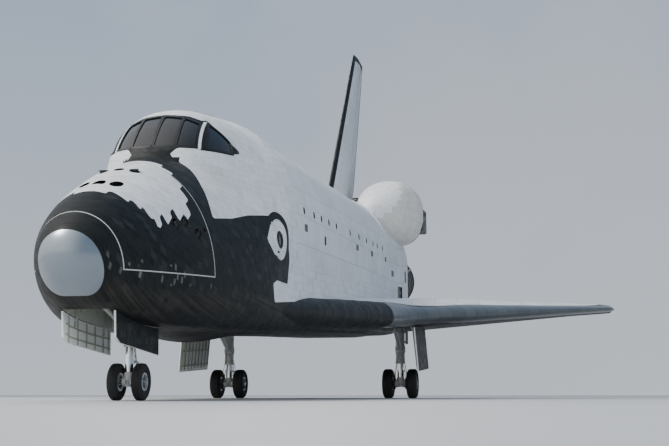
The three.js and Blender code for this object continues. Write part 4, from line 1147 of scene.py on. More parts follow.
# ------------------------------------------------------------------ nose and cabin
NOSE_X = 239.5 + np.linspace(0, 7.1, 48) ** 2
cap = solid(*loft(skin_grid(NOSE_X, 72), tip=True), 0)
cut(cap, ahead(-0.15, 1), "INTERSECT")
NOSE_SURF = Surf(skin_grid(239.5 + np.linspace(0.1, 7.1, 48) ** 2, 72))
shade(cap, [NOSE_SURF], 0.006)
set_mats(cap, CAP, DARK)
finish(cap, "nose_cap_body", "airframe", ["nose_cap"])

FX = np.concatenate([239.5 + np.linspace(1.3, 6.3, 36) ** 2, np.arange(282, 422, 3.0), np.arange(422, 500, 1.6),
                     np.arange(500, 581, 3.0), [581.6, 581.98]])
FRONT_SURF = Surf(skin_grid(FX, 84))
fwd = solid(*loft(skin_grid(FX, 84, np.where(FX > 581.8, -0.35, 0.0))), 0)
cut(fwd, ahead(0.15, 4))
well_x, well_y, well_z = (288, 392), 21, 328
recess = prism(MODULE, "y", -120, 120, 1)
cut(recess, box_cut(262, 396, -27, 27, 300, 334, 1))
cut(fwd, recess)
cut(fwd, box_cut(*well_x, -well_y, well_y, 250, well_z, 2))
cx = np.arange(404, 568.1, 4.0)
room = solid(*loft(skin_grid(cx, 48, -7.0)), 3)
cut(room, box_cut(380, 590, -130, 130, 200, 305, 3))
cut(fwd, room)
HX, HZ = HATCH
cut(fwd, rod_cut((HX, 80, HZ), (HX, 110, HZ), 16.35, 22.35, 96, 4))

def shell(lo, hi, g0, g1, n=72, mat=0):
    X = np.unique(np.concatenate([[lo], np.arange(math.ceil(lo / 2) * 2, hi, 2.0), [hi]]))
    o = solid(*loft(skin_grid(X, n, g0)), mat)
    X2 = X.copy()
    X2[0] -= 3
    X2[-1] += 3
    return cut(o, solid(*loft(skin_grid(X2, n, g1)), mat))


pane_shell, frame_shell = shell(427, 560, -1.0, -2.3), shell(427, 560, 0.3, -1.4)
PANE_SURF = Surf(skin_grid(np.arange(427, 561, 2.0), 72, -1.0))
FRAME_SURF = Surf(skin_grid(np.arange(427, 561, 2.0), 72, 0.3))
frames = []
for side, s in (("left", 1), ("right", -1)):
    cutters = []
    for name, rear, pts in FRONT_WINDOWS:
        cutters.append((name, lambda q, lo, hi, m: prism([(s * a, b) for a, b in q], "x", lo, hi, m), pts, 422, rear))
    cutters.append(("windscreen_side", lambda q, lo, hi, m: prism(q, "y", *((lo, hi) if s > 0 else (-hi, -lo)), m), SIDE_WINDOW, 34, 80))
    cutters.append(("overhead_window", lambda q, lo, hi, m: prism([(a, s * b) for a, b in q], "z", lo, hi, m), ROOF_WINDOW, 470, 510))
    for name, make, pts, lo, hi in cutters:
        q = rounded(pts, 1.6, 5)
        deep = hi + (3.5 if name == "windscreen_centre" else 0.3)
        cut(fwd, make(offset(q, 0.3), lo, deep, 4))
        pane = cut(copy_of(pane_shell), make(q, lo, hi, 0), "INTERSECT")
        shade(pane, [PANE_SURF], 0.01)
        set_mats(pane, GLASS)
        finish(pane, f"{name}_{side}_pane", "airframe", [f"{name}_{side}"])
        ring = cut(copy_of(frame_shell), make(offset(rounded(pts, 2.6, 6), 1.9), lo, hi + 2.0, 1), "INTERSECT")
        cut(ring, make(offset(q, 0.32), lo - 5, hi + 6, 1))
        frames.append(ring)
posts = [cut(copy_of(frame_shell), prism([(s * y, z) for y, z in ((40.1, 449.2), (42.3, 449.2), (38.9, 480.5), (36.7, 480.5))], "x", 424, 494, 0), "INTERSECT")
         for s in (1, -1)]
for o in (pane_shell, frame_shell):
    drop(o)


def join(objs, name):
    v, f, m, k = [], [], [], 0
    for o in objs:
        v.append(co_of(o.data))
        for p in o.data.polygons:
            f.append(tuple(i + k for i in p.vertices))
            m.append(p.material_index)
        k += len(o.data.vertices)
    o = add_object(name, new_mesh(name, np.concatenate(v), f, m))
    for mat in SPARE:
        o.data.materials.append(mat)
    for q in objs:
        drop(q)
    return o


frame_obj = join(frames, "frames")
shade(frame_obj, [FRAME_SURF], 0.006)
set_mats(frame_obj, PORT)
finish(frame_obj, "window_frames", "airframe")

post_obj = join(posts, "posts")
shade(post_obj, [FRAME_SURF], 0.006)
skin_attrs(post_obj)
attr(post_obj, "paint", np.tile([6.0, 1.0, 0.0], (len(post_obj.data.vertices), 1)))
set_mats(post_obj, SKIN)
finish(post_obj, "windscreen_posts", "airframe")

shade(fwd, [FRONT_SURF], 0.012)
skin_attrs(fwd)
set_mats(fwd, SKIN, SEAL, WELL, PANEL, PORT)
finish(fwd, "forward_fuselage_skin", "airframe", ["forward_fuselage"])

# thruster module with its nozzles, and the light seal round it
mx = np.concatenate([239.5 + np.linspace(3.2, 6.3, 22) ** 2, np.arange(282, 396, 3.0)])
mod = solid(*loft(skin_grid(mx, 84)), 0)
cut(mod, prism(offset(MODULE, -1.0), "y", -120, 120, 1), "INTERSECT")
cut(mod, box_cut(261.5, 396.5, -27.5, 27.5, 296, 334.5, 1))
ports = []
for y in (-14, 0, 14):
    ports.append(((318, y, 398), (-0.93, 0, 0.42), 4.2, 3.0))       # forward
    ports.append(((352, y, 419), (-0.12, 0, 1.0), 4.4, 3.0))        # up
for s in (1, -1):
    for x, z in ((338, 368), (352, 371), (366, 362)):
        ports.append(((x, s * skin_y(x, z), z), (0.0, s * 0.96, -0.25), 4.2, 3.0))
    ports.append(((377, s * skin_y(377, 366), 366), (0.0, s * 1.0, -0.3), 2.0, 1.5))
noz = Kit()
for (px, py, pz), d, r, r2 in ports:
    d = np.array(d) / np.linalg.norm(d)
    p = np.array([px, py, pz], float)
    cut(mod, rod_cut(p - d * 6, p + d * 12, r, r + 1.2, 40, 2))
    prof = [(-5.8, 0), (-5.8, r2 * 0.5), (-4.6, r2 * 0.55), (-0.8, r * 0.93), (-0.8, r * 0.86), (-4.4, r2 * 0.42), (-4.4, 0)]
    noz.lathe(p, d, prof, 32)
noz.object("forward_thruster_nozzles", [DARK], "airframe")
shade(mod, [FRONT_SURF], 0.012)
skin_attrs(mod)
set_mats(mod, SKIN, PORT, PORT)
finish(mod, "forward_thruster_skin", "airframe", ["forward_thruster_module"])
seal = solid(*loft(skin_grid(mx, 84, -0.08)), 0)
cut(seal, prism(offset(MODULE, -0.03), "y", -120, 120, 0), "INTERSECT")
cut(seal, prism(offset(MODULE, -0.98), "y", -120, 120, 0))
cut(seal, solid(*loft(skin_grid(np.concatenate([[246], mx, [398]]), 84, -1.4)), 0))
shade(seal, [FRONT_SURF], 0.012)
set_mats(seal, plain("light_seal", (0.42, 0.43, 0.42), 0.6, 0.0, 0.1, 8.0, 0.0005, 60.0, 0.3))
finish(seal, "thruster_module_seal", "airframe")

# round side hatch
hatch = rod_cut((HX, 80, HZ), (HX, 110, HZ), 16, 22, 96, 1)
hshell = solid(*loft(skin_grid(np.arange(HX - 27, HX + 28, 2.0), 90)), 0)
cut(hshell, solid(*loft(skin_grid(np.arange(HX - 33, HX + 35, 2.0), 90, -4.0)), 2))
cut(hshell, hatch, "INTERSECT")
hatch = hshell
cut(hatch, rod_cut((HX, 80, HZ), (HX, 112, HZ), 5.52, 5.52, 48, 3))
cut(hatch, box_cut(HX - 10, HX - 4, skin_y(HX - 7, 357) - 1.1, 112, 355.5, 357.5, 3))
hp = WI(co_of(hatch.data))
shade(hatch, [FRONT_SURF], 0.012)
attr(hatch, "tile", np.stack([hp[:, 0], girth(hp), np.zeros(len(hp))], 1))
hr = np.hypot(hp[:, 0] - HX, hp[:, 2] - HZ)
attr(hatch, "paint", np.stack([hr - 9.0, np.ones(len(hp)), np.zeros(len(hp))], 1))
set_mats(hatch, SKIN, SAND, PRIMER, PORT)
finish(hatch, "side_hatch_skin", "side_hatch", ["side_hatch"])
win = rod_cut((HX, 80, HZ), (HX, 110, HZ), 5.5, 5.5, 48, 0)
cut(win, shell(HX - 11, HX + 11, -0.6, -2.0, 90), "INTERSECT")
shade(win, [Surf(skin_grid(np.arange(HX - 11, HX + 12, 2.0), 90, -0.6))], 0.01)
set_mats(win, GLASS)
finish(win, "hatch_window_pane", "side_hatch", ["hatch_window"])
rim = Kit()
ring_c = np.array([HX, skin_y(HX, HZ), HZ])
nrm = np.array([0.0, 1.0, 0.0])
rim.lathe(ring_c - nrm * 0.9, nrm, [(0, 5.6), (1.0, 5.6), (1.15, 5.9), (1.15, 6.7), (0.9, 7.0), (0, 7.0)], 64, 0)
for k in range(12):
    a = k * math.pi / 6
    rim.cyl(ring_c + [6.3 * math.cos(a), 0.15, 6.3 * math.sin(a)], ring_c + [6.3 * math.cos(a), 0.42, 6.3 * math.sin(a)], 0.22, 0.2, 8, 1)
rim.object("hatch_window_rim", [DARK, STEEL], "side_hatch")

# ------------------------------------------------------------------ payload bay section
def arc(r, a0, a1, n, cy=0.0, cz=BAY_Z, sy=1.0):
    """Points (y, z) on a circle between two angles in degrees."""
    a = np.radians(np.linspace(a0, a1, n))
    return [(cy + sy * r * math.cos(t), cz + r * math.sin(t)) for t in a]


MX = np.concatenate([[582.02, 582.4], np.arange(585, 645, 4.0), np.arange(648, 1300, 18.0), [1306.6, 1306.98]])
MID_SURF = Surf(skin_grid(MX, 84))
mid = solid(*loft(skin_grid(MX, 84, np.where((MX < 582.2) | (MX > 1306.8), -0.35, 0.0))), 0)
void = arc(92, -180, 0, 121) + [(92, SILL_Z), (120, SILL_Z), (120, 530), (-120, 530), (-120, SILL_Z), (-92, SILL_Z)]
cut(mid, prism(void, "x", 577, 1302, 1))
a = math.degrees(math.asin(14 / 94.5))
cut(mid, prism(arc(94.5, 180 - a, a, 81) + [(120, SILL_Z), (120, 530), (-120, 530), (-120, SILL_Z)], "x", 1301, 1312, 1))
PORTS = [632, 686, 729, 776, 826, 928, 1002, 1070, 1136, 1180, 1238]
VENTS = [(640, 390, 16, 8), (750, 384, 10, 10.5), (985, 392, 20, 8), (1120, 392, 20, 8), (1270, 392, 16, 8)]
for s in (1, -1):
    for x in PORTS:
        cut(mid, rod_cut((x, s * 99, 408.2), (x, s * 110, 408.2), 4.1, 4.6, 36, 3))
    for x, z, w, h in VENTS:
        q = rounded([(x - w / 2, z - h / 2), (x + w / 2, z - h / 2), (x + w / 2, z + h / 2), (x - w / 2, z + h / 2)], 1.5, 4)
        cut(mid, prism(q, "y", *((101.2, 110) if s > 0 else (-110, -101.2)), 3))
bay_surf = Surf(np.array([[(x, y, z) for y, z in arc(92, -180, 0, 121)] for x in (570.0, 1310.0)]), closed=False)
shade(mid, [MID_SURF, bay_surf], 0.012)
skin_attrs(mid)
set_mats(mid, SKIN, LINER, PRIMER, PORT)
finish(mid, "mid_fuselage_skin", "airframe", ["mid_fuselage"])

k = Kit()
for s in (1, -1):                                   # vent screens and port plugs
    for x in PORTS:
        k.lathe((x, s * 99.2, 408.2), (0, s, 0), [(0, 0), (0, 3.6), (1.0, 3.6), (1.5, 2.7), (1.6, 1.2), (1.2, 0)], 28, 0)
    for x, zc, w, h in VENTS:
        for i in range(int(h / 1.2)):
            z = zc - h / 2 + 0.9 + i * 1.2
            k.box((x - w / 2 + 0.3, s * 101.25, z - 0.3), (x + w / 2 - 0.3, s * 101.7, z + 0.3), 0 if x == 750 else 1)
k.object("bay_side_vents", [DARK, SEAL], "airframe")

k = Kit()
rib = arc(91.9, -172, -8, 61) + arc(88.6, -8, -172, 61)
for i, x in enumerate(np.linspace(636, 1250, 12)):
    k.prism(rib, "x", x - 1.6, x + 1.6, 0)
    k.prism(arc(88.8, -172, -8, 41) + arc(88.0, -8, -172, 41), "x", x - 2.8, x + 2.8, 0)
for s in (1, -1):
    k.box((584, s * 86, 402), (1300, s * 91.9, 413.6), 1, 0.5)
    k.cyl((584, s * 84.8, 409), (1300, s * 84.8, 409), 0.9, 0.9, 16, 2)
    for x in np.arange(600, 1295, 29):
        k.box((x - 1.5, s * 84.4, 406), (x + 1.5, s * 87, 412), 2, 0.3)
    for x in (690, 812, 934, 1056, 1178):
        k.box((x - 7, s * 80, 404), (x + 7, s * 87, 413.8), 3, 0.8)
        k.cyl((x, s * 83, 413.6), (x, s * 83, 416.5), 2.4, 2.2, 20, 2, 0.4)
    for z in (392, 388.6):
        k.tube(curve([(590, s * 89.6, z), (800, s * 89.6, z), (1298, s * 89.6, z)], 12), 0.8, 10, 2)
k.box((600, -6, 309.6), (1290, 6, 313.2), 1, 0.6)
for x in np.linspace(620, 1270, 9):
    k.box((x - 5, -9, 309.6), (x + 5, 9, 316.5), 3, 0.8)
k.prism(arc(90, -175, -5, 41) + [(89.6, SILL_Z - 1), (-89.6, SILL_Z - 1)], "x", 1296, 1301.8, 4)
for y, z, r in ((0, 352, 20), (48, 372, 11), (-48, 372, 11), (0, 396, 9)):
    k.lathe((1296, y, z), (-1, 0, 0), [(0, 0), (0, r), (1.2, r), (1.6, r - 0.6), (1.6, r - 1.6), (0.6, r - 2.4), (0.6, 0)], 40, 1)
k.object("payload_bay_fittings", [PRIMER, GEAR, STEEL, ALLOY, LINER], "airframe", bevel=0.0)


# ------------------------------------------------------------------ payload bay doors
def door(s):
    r1, r0 = 102.0, 95.0
    joints = [582.5 + 723.9 * f for f in (0.25, 0.5, 0.75)]
    rows = [(582.5, 0.35), (582.9, 0)]
    for x in joints:
        rows += [(x - 0.62, 0), (x - 0.40, 0.45), (x + 0.40, 0.45), (x + 0.62, 0)]
    rows += [(x, 0.0) for x in np.arange(600, 1300, 30.0) if min(abs(x - j) for j in joints) > 4]
    rows += [(1306.1, 0), (1306.5, 0.35)]
    rows.sort()
    grid = np.zeros((len(rows), 2 * 44, 3))
    for i, (x, dip) in enumerate(rows):
        ro = r1 - dip
        a0, a1 = math.asin(14.5 / ro), math.pi / 2 - 0.5 / ro
        b0, b1 = math.asin(14.5 / r0), math.pi / 2 - 0.5 / r0
        ao = np.linspace(a0, a1, 44)
        rr = np.full(44, ro)
        rr[0] -= 0.25
        rr[-1] -= 0.25
        bo = np.linspace(b1, b0, 44)
        grid[i, :44] = np.stack([np.full(44, x), s * rr * np.cos(ao), BAY_Z + rr * np.sin(ao)], 1)
        grid[i, 44:] = np.stack([np.full(44, x), s * r0 * np.cos(bo), BAY_Z + r0 * np.sin(bo)], 1)
    return grid


for side, s in (("left", 1), ("right", -1)):
    g = door(s)
    o = solid(*loft(g), 0)
    remap(o, lambda c, n, i: np.where(np.hypot(c[:, 1], c[:, 2] - BAY_Z) < 97, 1, 0))
    o.data.polygons.foreach_set("use_smooth", np.ones(len(o.data.polygons), bool))
    by_angle(o, 25)
    p = WI(co_of(o.data))
    attr(o, "tile", np.stack([p[:, 0], girth(p) * 0 + 102 * np.arctan2(p[:, 2] - BAY_Z, np.abs(p[:, 1])), np.zeros(len(p))], 1))
    attr(o, "paint", np.stack([np.full(len(p), 50.0), np.full(len(p), -1.0), np.zeros(len(p))], 1))
    set_mats(o, SKIN, LINER)
    body = f"payload_bay_door_{side}"
    finish(o, f"payload_bay_door_{side}_skin", body, [body])
    # radiator panels on the inside, frames and latches
    k = Kit()
    for x0, x1, in_r in ((588, 760, 93.2), (764, 940, 93.2), (944, 1120, 93.4), (1124, 1300, 93.4)):
        out = arc(94.9, 13, 86, 41, sy=s) + arc(in_r, 86, 13, 41, sy=s)
        k.prism(out, "x", x0, x1, 0)
        for xx in np.linspace(x0 + 6, x1 - 6, 4):
            k.prism(arc(in_r + 0.05, 12, 87, 41, sy=s) + arc(in_r - 0.35, 87, 12, 41, sy=s), "x", xx - 0.9, xx + 0.9, 1)
    for xx in np.linspace(610, 1280, 13):                # hinge arms along the sill
        k.box((xx - 2.0, s * 93.2, 416.0), (xx + 2.0, s * 96.5, 419.5), 1, 0.4)
    for xx in np.linspace(620, 1270, 8):                 # centre line latches
        k.box((xx - 4, s * 1.4, 492.2), (xx + 4, s * 6.5, 495.2), 2, 0.5)
    o = k.object(f"payload_bay_door_{side}_radiators", [RADIATOR, ALLOY, STEEL], body)
    p = WI(co_of(o.data))
    attr(o, "tile", np.stack([p[:, 0], 93.4 * np.arctan2(p[:, 2] - BAY_Z, np.abs(p[:, 1])), np.zeros(len(p))], 1))

o = bpy.data.objects["payload_bay_fittings"]
p = WI(co_of(o.data))
attr(o, "tile", np.stack([p[:, 1] * 1.7, p[:, 2] * 1.7, np.zeros(len(p))], 1))


# ------------------------------------------------------------------ engine section
AX = np.concatenate([[1307.02, 1307.4], np.arange(1312, 1505, 8.0), [1508, 1510.8, 1511.7, 1512.0]])
AFT_SURF = Surf(skin_grid(AX, 84))
ag = np.where(AX < 1307.2, -0.35, np.where(AX > 1511.9, -1.2, np.where(AX > 1511.5, -0.35, 0.0)))
aft = solid(*loft(skin_grid(AX, 84, ag)), 0)
cut(aft, solid(*loft(skin_grid(np.arange(1319, 1500.1, 9.05), 48, -12.0)), 2))


def line_of(x, y, z, pitch, yaw):
    p, q = math.radians(pitch), math.radians(yaw)
    return np.array([x, y, z], float), np.array([math.cos(p) * math.cos(q), math.cos(p) * math.sin(q), math.sin(p)])


for _, *e in ENGINES:
    o0, d0 = line_of(*e)
    cut(aft, rod_cut(o0 + d0 * 22, o0 + d0 * 110, 38, 38, 96, 3))
for s in (1, -1):
    q = rounded([(1396, 318), (1446, 318), (1446, 352), (1396, 352)], 3, 5)
    cut(aft, prism(q, "y", *((skin_y(1420, 335) - 1.4, 120) if s > 0 else (-120, -skin_y(1420, 335) + 1.4)), 4))
    for x, z, w, h in ((1345, 372, 22, 10), (1482, 372, 14, 20)):
        q = rounded([(x - w / 2, z - h / 2), (x + w / 2, z - h / 2), (x + w / 2, z + h / 2), (x - w / 2, z + h / 2)], 1.5, 4)
        yy = skin_y(x, z) - 0.8
        cut(aft, prism(q, "y", *((yy, 120) if s > 0 else (-120, -yy)), 4))
remap(aft, lambda c, n, i: np.where((i == 0) & (c[:, 0] > 1511.4), 1, i))
shade(aft, [AFT_SURF], 0.012)
skin_attrs(aft)
BASE = plain("base_heat_shield", (0.030, 0.030, 0.031), 0.62, 0.0, 0.2, 3.0, 0.001, 20.0, 0.35, (0.10, 0.09, 0.075))
set_mats(aft, SKIN, BASE, PRIMER, PORT, DARK)
finish(aft, "aft_fuselage_skin", "airframe", ["aft_fuselage"])

k = Kit()
for s in (1, -1):
    y0 = skin_y(1420, 335) - 1.35
    for i in range(4):
        for j in range(2):
            c = (1403 + i * 11.5, s * y0, 327 + j * 15)
            r = 3.6 if (i + j) % 2 else 2.6
            k.lathe(c, (0, s, 0), [(0, 0), (0, r), (0.8, r), (0.9, r - 0.4), (0.5, r - 0.8), (0.5, 0)], 28, (i + j) % 2)
    for x, z, w, h in ((1345, 372, 22, 10), (1482, 372, 14, 20)):
        yy = skin_y(x, z) - 0.75
        for i in range(int(h / 1.3)):
            zz = z - h / 2 + 0.9 + i * 1.3
            k.box((x - w / 2 + 0.4, s * yy, zz - 0.35), (x + w / 2 - 0.4, s * (yy + 0.4), zz + 0.3), 2)
k.object("engine_section_plates", [STEEL, COPPER, SEAL], "airframe")

# domes between the engines and the base
k = Kit()
for _, *e in ENGINES:
    o0, d0 = line_of(*e)
    end = 1511 - o0[0]
    s0 = end / d0[0]
    lip = [(s0 - 10, 37.6), (s0 - 2, 37.4), (s0 + 4, 36.2), (s0 + 8, 33.8), (s0 + 10, 31.0), (s0 + 10.6, 28.9), (s0 + 9.6, 28.6), (s0 + 8.6, 31.0),
           (s0 + 6.6, 33.2), (s0 + 2.4, 35.0), (s0 - 4, 35.8), (s0 - 10, 36.0)]
    k.lathe(o0, d0, lip, 96, 0)
    for i in range(24):
        a = i * math.pi / 12
        u, w, _d = basis(d0)
        rr = u * math.cos(a) + w * math.sin(a)
        c = o0 + d0 * (s0 + 5.2) + rr * 35.9
        k.cyl(c - rr * 0.6, c + rr * 0.55, 0.55, 0.5, 8, 1)
k.object("engine_domes", [HEAT, STEEL], "airframe", "black_tile")


# ------------------------------------------------------------------ engines
def bell_profile(s0, s1, r0, r1, wall, n=36):
    t = np.linspace(0, 1, n)
    r = r0 + (r1 - r0) * np.sin(t * math.pi / 2) ** 0.8
    s = s0 + (s1 - s0) * t
    return s, r, [(s0, 0)] + [(a, b) for a, b in zip(s, r)] + [(s1, r[-1] - wall)] + \
        [(a, max(b - wall, 3)) for a, b in zip(s[::-1][1:-2], r[::-1][1:-2])] + [(s[2], 0)]


def bell(o0, d0, s0, s1, r0, r1, wall, hoops, n=120):
    s, r, prof = bell_profile(s0, s1, r0, r1, wall)
    v, f = lathe_vf(o0, d0, prof, n)
    me = closed_mesh("tmp", v, f, 0)
    o = add_object("tmp", me)
    by_angle(o, 40)
    u, w, _ = basis(d0)
    q = v - o0
    along_ = (q @ d0 - s0) / (s1 - s0)
    turn = np.arctan2(q @ w, q @ u) / (2 * math.pi)
    # hoops and pipes share the same object
    kk = Kit()
    for t, h, wd in hoops:
        si = s0 + (s1 - s0) * t
        ri = float(np.interp(si, s, r))
        kk.lathe(o0, d0, [(si - wd, ri - 0.3), (si - wd, ri + h * 0.6), (si - wd * 0.6, ri + h), (si + wd * 0.6, ri + h + 0.2), (si + wd, ri + h * 0.6),
                          (si + wd, ri - 0.1)], 96, 1)
    return o, kk, s, r, np.stack([along_, turn, np.zeros(len(v))], 1)


for name, *e in ENGINES:
    o0, d0 = line_of(*e)
    hoops = [(0.10, 1.2, 1.2)] + [(t, 1.0, 0.75) for t in np.linspace(0.2, 0.9, 9)]
    o, kk, s, r, tile = bell(o0, d0, 46, 157, 15, 47, 2.2, hoops)
    attr(o, "tile", tile)
    set_mats(o, BELL)
    finish(o, f"main_engine_{name}_bell", "airframe", [f"main_engine_{name}"])
    u, w, _ = basis(d0)

    def at_bell(t, a, up):
        si = 46 + 111 * t
        return o0 + d0 * si + (u * math.cos(a) + w * math.sin(a)) * (float(np.interp(si, s, r)) + up)

    kk.torus(o0 + d0 * 153.5, d0, 46.9, 1.5, 96, 14, 1)
    for a in (0.5, 0.5 + 2.094, 0.5 + 4.189):
        kk.tube(curve([at_bell(t, a, 2.4) for t in (0.02, 0.2, 0.4, 0.6, 0.8, 0.93)], 24), 1.5, 12, 2)
    kk.tube(curve([at_bell(t, 3.3 - t * 0.6, 1.8) for t in (0.05, 0.3, 0.6, 0.8)], 20), 0.8, 10, 2)
    # powerhead
    P0 = lambda sx, a, rr: o0 + d0 * sx + (u * math.cos(a) + w * math.sin(a)) * rr
    kk.lathe(o0, d0, [(2, 0), (2, 8), (5, 10), (12, 10), (16, 13), (30, 13.5), (36, 10), (42, 9), (46, 12), (50, 15.5), (50, 0)], 56, 0)
    kk.torus(o0 + d0 * 47, d0, 15.4, 2.4, 56, 14, 1)
    for a, rr, ln in ((0.3, 17.5, 34), (3.4, 17.0, 31), (1.9, 16.0, 22), (4.9, 16.5, 24)):
        kk.lathe(P0(6, a, rr), d0, [(0, 0), (0, 3.6), (3, 5.4), (ln * 0.4, 6.0), (ln * 0.55, 5.0), (ln * 0.7, 5.8), (ln, 4.4), (ln + 1.5, 2.5), (ln + 1.5, 0)], 36, 3)
        kk.torus(P0(6 + ln * 0.5, a, rr), d0, 6.1, 0.7, 36, 8, 1)
        kk.tube(curve([P0(6 + ln, a, rr), P0(12 + ln, a, rr - 1), P0(45, a + 0.3, 13), P0(47, a + 0.5, 14)], 18), 2.2, 14, 2)
    for a in np.linspace(0.8, 6.2, 6):
        kk.tube(curve([P0(8, a, 11), P0(20, a + 0.5, 19), P0(34, a + 0.2, 20), P0(46, a, 16)], 20), 0.9, 10, 2)
    kk.object(f"main_engine_{name}_plumbing", [STEEL, DARK, COPPER, HEAT], "airframe", "engine_metal")


# ------------------------------------------------------------------ wings
def wing_section(y, nose_pts=14, side_pts=26):
    """Closed outline (X, z) of the wing at y: leading edge, over the top, back underneath."""
    xle, zle, nose, zn, xm, zm = (float(pchip(WING[:, 0], WING[:, k], [y])[0]) for k in range(1, 7))
    zh, r, te = hinge_z(y), elevon_r(min(max(y, 115), 468)), wing_te(y)
    t = np.linspace(0, 1, nose_pts) ** 1.7
    f = np.sqrt(1 - (1 - t) ** 2)
    up = [(xle + nose * a, zle + (zn - zle) * b) for a, b in zip(t, f)]
    low = [(xle + nose * a, zle + (float(wing_low(xle + nose * a, y)) - zle) * b) for a, b in zip(t[1:], f[1:])]
    xf = (xle + nose + xm) / 2
    ux = [xle + nose, xf, xm, xm + (1387 - xm) * 0.55, 1387, te]
    uz = [zn, zn + (zm - zn) * 0.75, zm, zm + (zh + r - zm) * 0.42, zh + r, zh - 4.2]
    q = np.linspace(0, 1, side_pts)[1:]
    X = xle + nose + (1387 - xle - nose) * q
    up += list(zip(X, np.minimum(pchip(ux, uz, X), 340)))
    lx, lz = [xle + nose, xf, xm, 1387], [float(wing_low(a, y)) for a in (xle + nose, xf, xm)] + [zh - r]
    low += list(zip(X, pchip(lx, lz, X)))
    up += [((1387 + te) / 2, (zh + r + zh - 4.2) / 2), (te, zh - 4.2)]
    low += [((1387 + te) / 2, (zh - r + zh - 5.4) / 2), (te, zh - 5.4)]
    return up + low[::-1]


def wing_grid(s):
    ys = np.unique(np.concatenate([np.linspace(86, 112, 4), np.linspace(112, 200, 23), np.linspace(200, 455, 27), [458, 461, 463.5, 465.5, 466.8, 467.6, 468]]))
    g = []
    for y in ys:
        q = np.array(wing_section(y))
        k = math.sqrt(max(1 - max((y - 457) / 11.2, 0) ** 2, 0.03))
        n = len(q)
        zc = np.interp(q[:, 0], *zip(*sorted({round(a, 4): (np.interp(a, *split(q, True)) + np.interp(a, *split(q, False))) / 2 for a in q[:, 0]}.items())))
        q[:, 1] = zc + (q[:, 1] - zc) * k
        g.append(np.stack([q[:, 0], np.full(n, s * y), q[:, 1]], 1))
    return np.array(g)


def split(q, top):
    half = (len(q) + 1) // 2
    a = q[:half] if top else np.concatenate([q[:1], q[half:][::-1]])
    i = np.argsort(a[:, 0], kind="stable")
    return a[i, 0], a[i, 1]


LE_STRIP = [(930, 175), (980, 200), (1030, 240), (1270, 485), (1362, 492), (1346, 458), (1312, 444),
            (1083, 216), (1060, 190), (1034, 167), (1002, 149), (944, 139)]
LE_LINE = np.array([(float(pchip(WING[:, 0], WING[:, 1], [y])[0]), y) for y in np.linspace(86, 468, 160)])
DIHEDRAL = math.atan(0.0612)
WELL_BOX = (1045, 1191, 106, 170, 308)


def wedge(R, chord, turn, thin, n=22):
    drop_, pts = 4.8, []
    up, down = math.atan2(R + drop_ - thin, chord), math.atan2(R - drop_ - thin, chord)
    for a in np.linspace(math.pi / 2 - up, 1.5 * math.pi + down, n):
        pts.append((R * math.cos(a), R * math.sin(a)))
    pts += [(chord, -drop_ - thin), (chord, -drop_ + thin)]
    c, q = math.cos(turn), math.sin(turn)
    return [(a * c - b * q, a * q + b * c) for a, b in pts]


def hinge_ring(pts, y, s):
    v = (y - 105) / math.cos(DIHEDRAL)
    return [(1387 + a, s * (105 + v * math.cos(DIHEDRAL) - b * math.sin(DIHEDRAL)), 284 + v * math.sin(DIHEDRAL) + b * math.cos(DIHEDRAL)) for a, b in pts]


def elevon_grid(ys, s, grow=0.0, turn=0.0, n=22):
    return np.array([hinge_ring(wedge(elevon_r(y) + grow, wing_te(y) - 1387 + grow * 2, turn, 0.6 + grow, n), y, s) for y in ys])


def wing_attrs(o, s, top_fn):
    p = WI(co_of(o.data))
    line = np.hypot(p[:, 0][:, None] - LE_LINE[None, :, 0], np.abs(p[:, 1])[:, None] - LE_LINE[None, :, 1]).min(1)
    top = top_fn(p)
    d = np.where(top, line - np.where(p[:, 0] < 960, 17.0, 26.0), -20.0)
    zone = np.where(top, -1.0, 1.0)
    streak = np.where(top, 0.0, 0.35)
    attr(o, "tile", np.stack([p[:, 0], np.abs(p[:, 1]) + 300, np.zeros(len(p))], 1))
    attr(o, "paint", np.stack([d, zone, -streak], 1))


WG = wing_grid(1)
_top = [split(WG[i][:, [0, 2]], True) for i in range(len(WG))]
_bot = [split(WG[i][:, [0, 2]], False) for i in range(len(WG))]
_wy = WG[:, 0, 1]


def over_camber(p):
    out = np.zeros(len(p), bool)
    idx = np.clip(np.searchsorted(_wy, np.abs(p[:, 1])), 0, len(_wy) - 1)
    for i in np.unique(idx):
        k = idx == i
        mid_z = (np.interp(p[k, 0], *_top[i]) + np.interp(p[k, 0], *_bot[i])) / 2
        out[k] = p[k, 2] > mid_z
    return out


